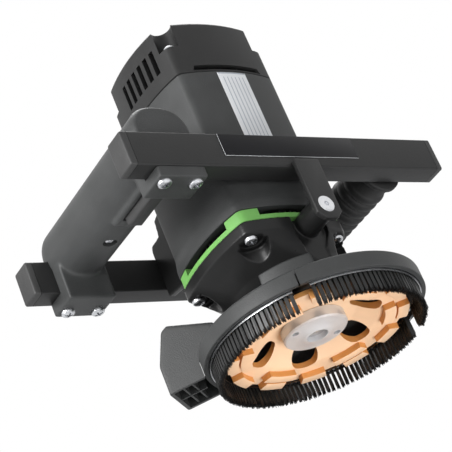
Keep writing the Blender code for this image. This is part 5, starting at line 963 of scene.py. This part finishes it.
def make_tufts(name, start, end, nodes, body):
    """Clumps of fine strands in a backing strip, splayed a little and cut unevenly."""
    bm = new()
    low, high = HOOD_RIM + 0.2, CHANNEL_ROOF - FIT
    arc(bm, [(BRUSH_IN, low), (BRUSH_OUT, low), (BRUSH_OUT, high), (BRUSH_IN, high)], start + BACKING_GAP,
        end - BACKING_GAP)
    count = round((end - start) * BRUSH_MIDDLE / TUFT_PITCH)
    thirds = [2 * math.pi * k / 3 for k in range(3)]
    sections = ((HOOD_RIM + 0.3, 1.05, 1.75), (TIP_Z + 3.0, 1.2, 1.95), (TIP_Z + 1.0, 0.85, 1.5))
    for i in range(count):
        middle = start + (end - start) * (i + 0.5) / count
        lean = random.uniform(-0.25, 0.25)
        core = []
        for z, wide, deep in sections:
            turn = middle + lean / BRUSH_MIDDLE * (HOOD_RIM - z) / 15.0
            out = polar(1, turn)
            side = Vector((-math.sin(turn), math.cos(turn), 0))
            centre = out * BRUSH_MIDDLE + Vector((0, 0, z))
            core.append([centre - side * wide - out * deep, centre + side * wide - out * deep,
                         centre + side * wide + out * deep, centre - side * wide + out * deep])
        loft(bm, core)
        for _ in range(STRANDS):
            along, across = random.uniform(-0.85, 0.85), random.uniform(-1.7, 1.7)
            root_turn = middle + along / BRUSH_MIDDLE
            tip_turn = middle + (along * 1.25 + lean + random.uniform(-0.15, 0.15)) / BRUSH_MIDDLE
            root_r = BRUSH_MIDDLE + across
            tip_r = BRUSH_MIDDLE + across * 1.25 + random.uniform(-0.2, 0.2)
            tip_z = TIP_Z + 0.05 + abs(random.gauss(0.0, 0.5))
            thick = random.uniform(0.20, 0.30)
            root = polar(root_r, root_turn, HOOD_RIM + 0.3)
            tip = polar(tip_r, tip_turn, tip_z)
            loops = []
            for centre, size in ((root, thick), (tip, thick * 0.8)):
                loops.append([centre + polar(size, t) for t in thirds])
            loft(bm, loops)
    names = [f"{name}_bristles_{i + 1}" for i in range(nodes)]
    publish(f"{name}_tufts", bm, "bristle", body, names)


# Dust duct
def make_duct():
    turn = Matrix.Rotation(DUCT_ANGLE, 4, "Z")
    bm = new()
    outline = [(56, 15.0), (56, 36.5), (86, 49.0), (91, 46.5), (100, 24.6), (100, -2.0), (56, -2.0)]
    prism(bm, outline, "Y", -DUCT_HALF, DUCT_HALF)
    bm = cast(bm, voxel=0.8, rounds=30)
    bm = cut_box(bm, (40, 110), (-25, 25), (-5, 4.0))
    bm.transform(turn)
    cut = new()
    turned(cut, [(76.5, -6), (76.5, HOOD_TOP - 1.7), (74.5, HOOD_TOP + FIT), (52.3, HOOD_TOP + 1.6),
                 (39.8, HOOD_TOP + 6.0)], 160)
    bm = carved(bm, cut)
    cut = new()
    inside = [(DUCT_NEAR, 3.3), (DUCT_NEAR, 34.0), (84.8, 46.5), (88.5, 44.0), (97.5, 24.0), (97.5, 0.8),
              (78.7, 0.8), (78.7, 3.3)]
    prism(cut, inside, "Y", -DUCT_IN_HALF, DUCT_IN_HALF)
    cut.transform(turn)
    bm = carved(bm, cut)
    socket = turn @ about_y(SOCKET_X, SOCKET_Z)
    bm = drilled(bm, [(SOCKET_BORE + FIT, -22), (SOCKET_BORE + FIT, -13)], 40, socket)
    publish("duct_shell", bm, "charcoal_plastic", nodes=("dust_duct",))
    bm = new()
    box(bm, (78.9, 97.4), (-DUCT_RIB_HALF, DUCT_RIB_HALF), (4.6, 14.0))
    ribs = new()
    reach = DUCT_IN_HALF - 0.1
    for r in (84.5, 91.0):
        box(ribs, (r - DUCT_RIB_HALF, r + DUCT_RIB_HALF), (-reach, reach), (5.0, 14.0))
    bm = carved(bm, ribs, "UNION")
    bm.transform(turn)
    publish("duct_ribs", bm, "charcoal_plastic")
    bm = new()
    turned(bm, [(SOCKET_BORE, -26.8), (13.4, -26.8), (14.2, -26.0), (14.2, -24.0), (13.8, -23.6),
                (13.8, -18.8), (SOCKET_BORE, -18.8)], 48, closed=True)
    bm.transform(socket)
    publish("hose_collar", bm, "cap_plastic", nodes=("hose_socket",))


# Cup wheel
def make_wheel():
    rim = WHEEL_RADIUS - 0.6
    bm = new()
    turned(bm, [(WHEEL_BORE, 12.5), (29.0, 12.5), (31.0, 11.9), (41.5, 4.9), (WHEEL_INNER, WHEEL_FACE),
                (rim, WHEEL_FACE), (rim, 7.2), (44.5, 8.2), (30.0, 16.5), (WHEEL_BORE, 16.5)], 144,
           closed=True)
    segments = new()
    rows = ((12, 17.0, WHEEL_RADIUS, 0.0), (6, 27.0, INNER_ROW_RADIUS, 0.5))
    for count, span, radius, shift in rows:
        for i in range(count):
            middle = 2 * math.pi * (i + shift) / count
            half = math.radians(span / 2)
            inside = radius - SEGMENT_DEPTH
            arc(segments, [(inside, 0.0), (radius, 0.0), (radius, SEGMENT_ROOT), (inside, SEGMENT_ROOT)],
                middle - half, middle + half)
    segments = edged(segments, 0.5, 2)
    bm = carved(bm, segments, "UNION")
    cut = new()
    for i in range(HOLE_COUNT):
        turn = HOLE_TURN + 2 * math.pi * i / HOLE_COUNT
        x, y = HOLE_CIRCLE * math.cos(turn), HOLE_CIRCLE * math.sin(turn)
        turned(cut, [(HOLE_RADIUS, 0.0), (HOLE_RADIUS, 20.0)], 40, x=x, y=y)
    bm = carved(bm, cut)
    publish("diamond_cup_wheel", bm, "wheel_copper", "spindle", ("cup_wheel",))


def make_nut():
    bm = new()
    turned(bm, [(NUT_BORE, 2.9), (8.8, 2.9), (9.4, 3.2), (12.4, 4.7), (NUT_RADIUS - 1, 4.7),
                (NUT_RADIUS, 5.7), (NUT_RADIUS, 12.2), (NUT_BORE, 12.2)], 96, closed=True)
    cut = new()
    for side in (-1, 1):
        turned(cut, [(PIN_HOLE_RADIUS, 0.0), (PIN_HOLE_RADIUS, 9.2)], 28, x=side * PIN_HOLE_X)
    bm = carved(bm, cut)
    publish("clamp_nut", bm, "nut_aluminium", "spindle", ("clamping_nut",))


# Solids that stay
def make_plain_looks():
    """The solids that stay get the same finishes as the pieces round them."""
    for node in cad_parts.values():
        for i, material in enumerate(node.data.materials):
            name = material.name.split(".")[0]
            node.data.materials[i] = LOOKS[name]


# Stage
def make_floor():
    bm = new()
    bm.faces.new([bm.verts.new(Vector((x, y, 0.0))) for x, y in ((-3, -3), (3, -3), (3, 3), (-3, 3))])
    mesh = bpy.data.meshes.new("floor")
    bm.to_mesh(mesh)
    bm.free()
    material = bpy.data.materials.new("pale_floor")
    material.use_nodes = True
    nodes, links = material.node_tree.nodes, material.node_tree.links
    nodes.clear()
    out = nodes.new("ShaderNodeOutputMaterial")
    mix = nodes.new("ShaderNodeMixShader")
    pale = nodes.new("ShaderNodeBsdfDiffuse")
    pale.inputs["Color"].default_value = (0.85, 0.85, 0.85, 1.0)
    clear = nodes.new("ShaderNodeBsdfTransparent")
    side = nodes.new("ShaderNodeNewGeometry")
    path = nodes.new("ShaderNodeLightPath")
    either = nodes.new("ShaderNodeMath")
    either.operation = "MAXIMUM"
    links.new(side.outputs["Backfacing"], either.inputs[0])
    links.new(path.outputs["Is Shadow Ray"], either.inputs[1])
    links.new(either.outputs["Value"], mix.inputs["Fac"])
    links.new(pale.outputs["BSDF"], mix.inputs[1])
    links.new(clear.outputs["BSDF"], mix.inputs[2])
    links.new(mix.outputs["Shader"], out.inputs["Surface"])
    mesh.materials.append(material)
    floor = linked("floor", mesh)


def make_world():
    world = bpy.data.worlds.new("studio")
    world.use_nodes = True
    nodes, links = world.node_tree.nodes, world.node_tree.links
    back = nodes["Background"]
    back.inputs["Color"].default_value = (0.92, 0.95, 1.0, 1.0)
    back.inputs["Strength"].default_value = 0.25
    white = nodes.new("ShaderNodeBackground")
    white.inputs["Strength"].default_value = 1.0
    white.inputs["Color"].default_value = (1.0, 1.0, 1.0, 1.0)
    path = nodes.new("ShaderNodeLightPath")
    seen = None
    for name in ("Is Glossy Ray", "Is Transmission Ray"):
        most = nodes.new("ShaderNodeMath")
        most.operation = "MAXIMUM"
        links.new(seen or path.outputs["Is Camera Ray"], most.inputs[0])
        links.new(path.outputs[name], most.inputs[1])
        seen = most.outputs["Value"]
    mix = nodes.new("ShaderNodeMixShader")
    links.new(seen, mix.inputs["Fac"])
    links.new(back.outputs["Background"], mix.inputs[1])
    links.new(white.outputs["Background"], mix.inputs[2])
    links.new(mix.outputs["Shader"], nodes["World Output"].inputs["Surface"])
    bpy.context.scene.world = world


def make_camera():
    data = bpy.data.cameras.new("camera")
    data.lens = LENS
    data.sensor_width = SENSOR
    data.clip_start = 0.05
    camera = linked("camera", data)
    right, down, ahead = (Vector(axis) for axis in CAMERA_AXES)
    turn = Matrix((right, -down, -ahead)).transposed().to_4x4()
    camera.matrix_world = Matrix.Translation(CAMERA_PLACE) @ turn
    bpy.context.scene.camera = camera


def make_lamp(name, place, size, power):
    data = bpy.data.lights.new(name, "AREA")
    data.shape = "DISK"
    data.size = size
    data.energy = power
    lamp = linked(name, data)
    lamp.location = place
    lamp.rotation_euler = (TARGET - Vector(place)).to_track_quat("-Z", "Y").to_euler()


make_motor()
make_cover()
make_air_ring()
make_gear_housing()
make_frame()
make_arm()
make_bracket()
make_plate()
make_label()
make_handle_top()
make_handle_bottom()
make_trigger()
make_gland()
make_grip()
make_hood()
make_brushes()
make_duct()
make_wheel()
make_nut()
make_plain_looks()

make_floor()
make_world()
make_camera()
make_lamp("key", (-1.15, -0.10, 0.25), size=0.6, power=22.0)
make_lamp("front", (-0.5, -1.2, -0.3), size=0.8, power=6.0)
make_lamp("below", (0.25, -0.45, -0.95), size=0.8, power=11.0)
make_lamp("top", (0.3, 0.2, 1.3), size=0.9, power=12.0)

bpy.context.scene.view_settings.view_transform = "Standard"
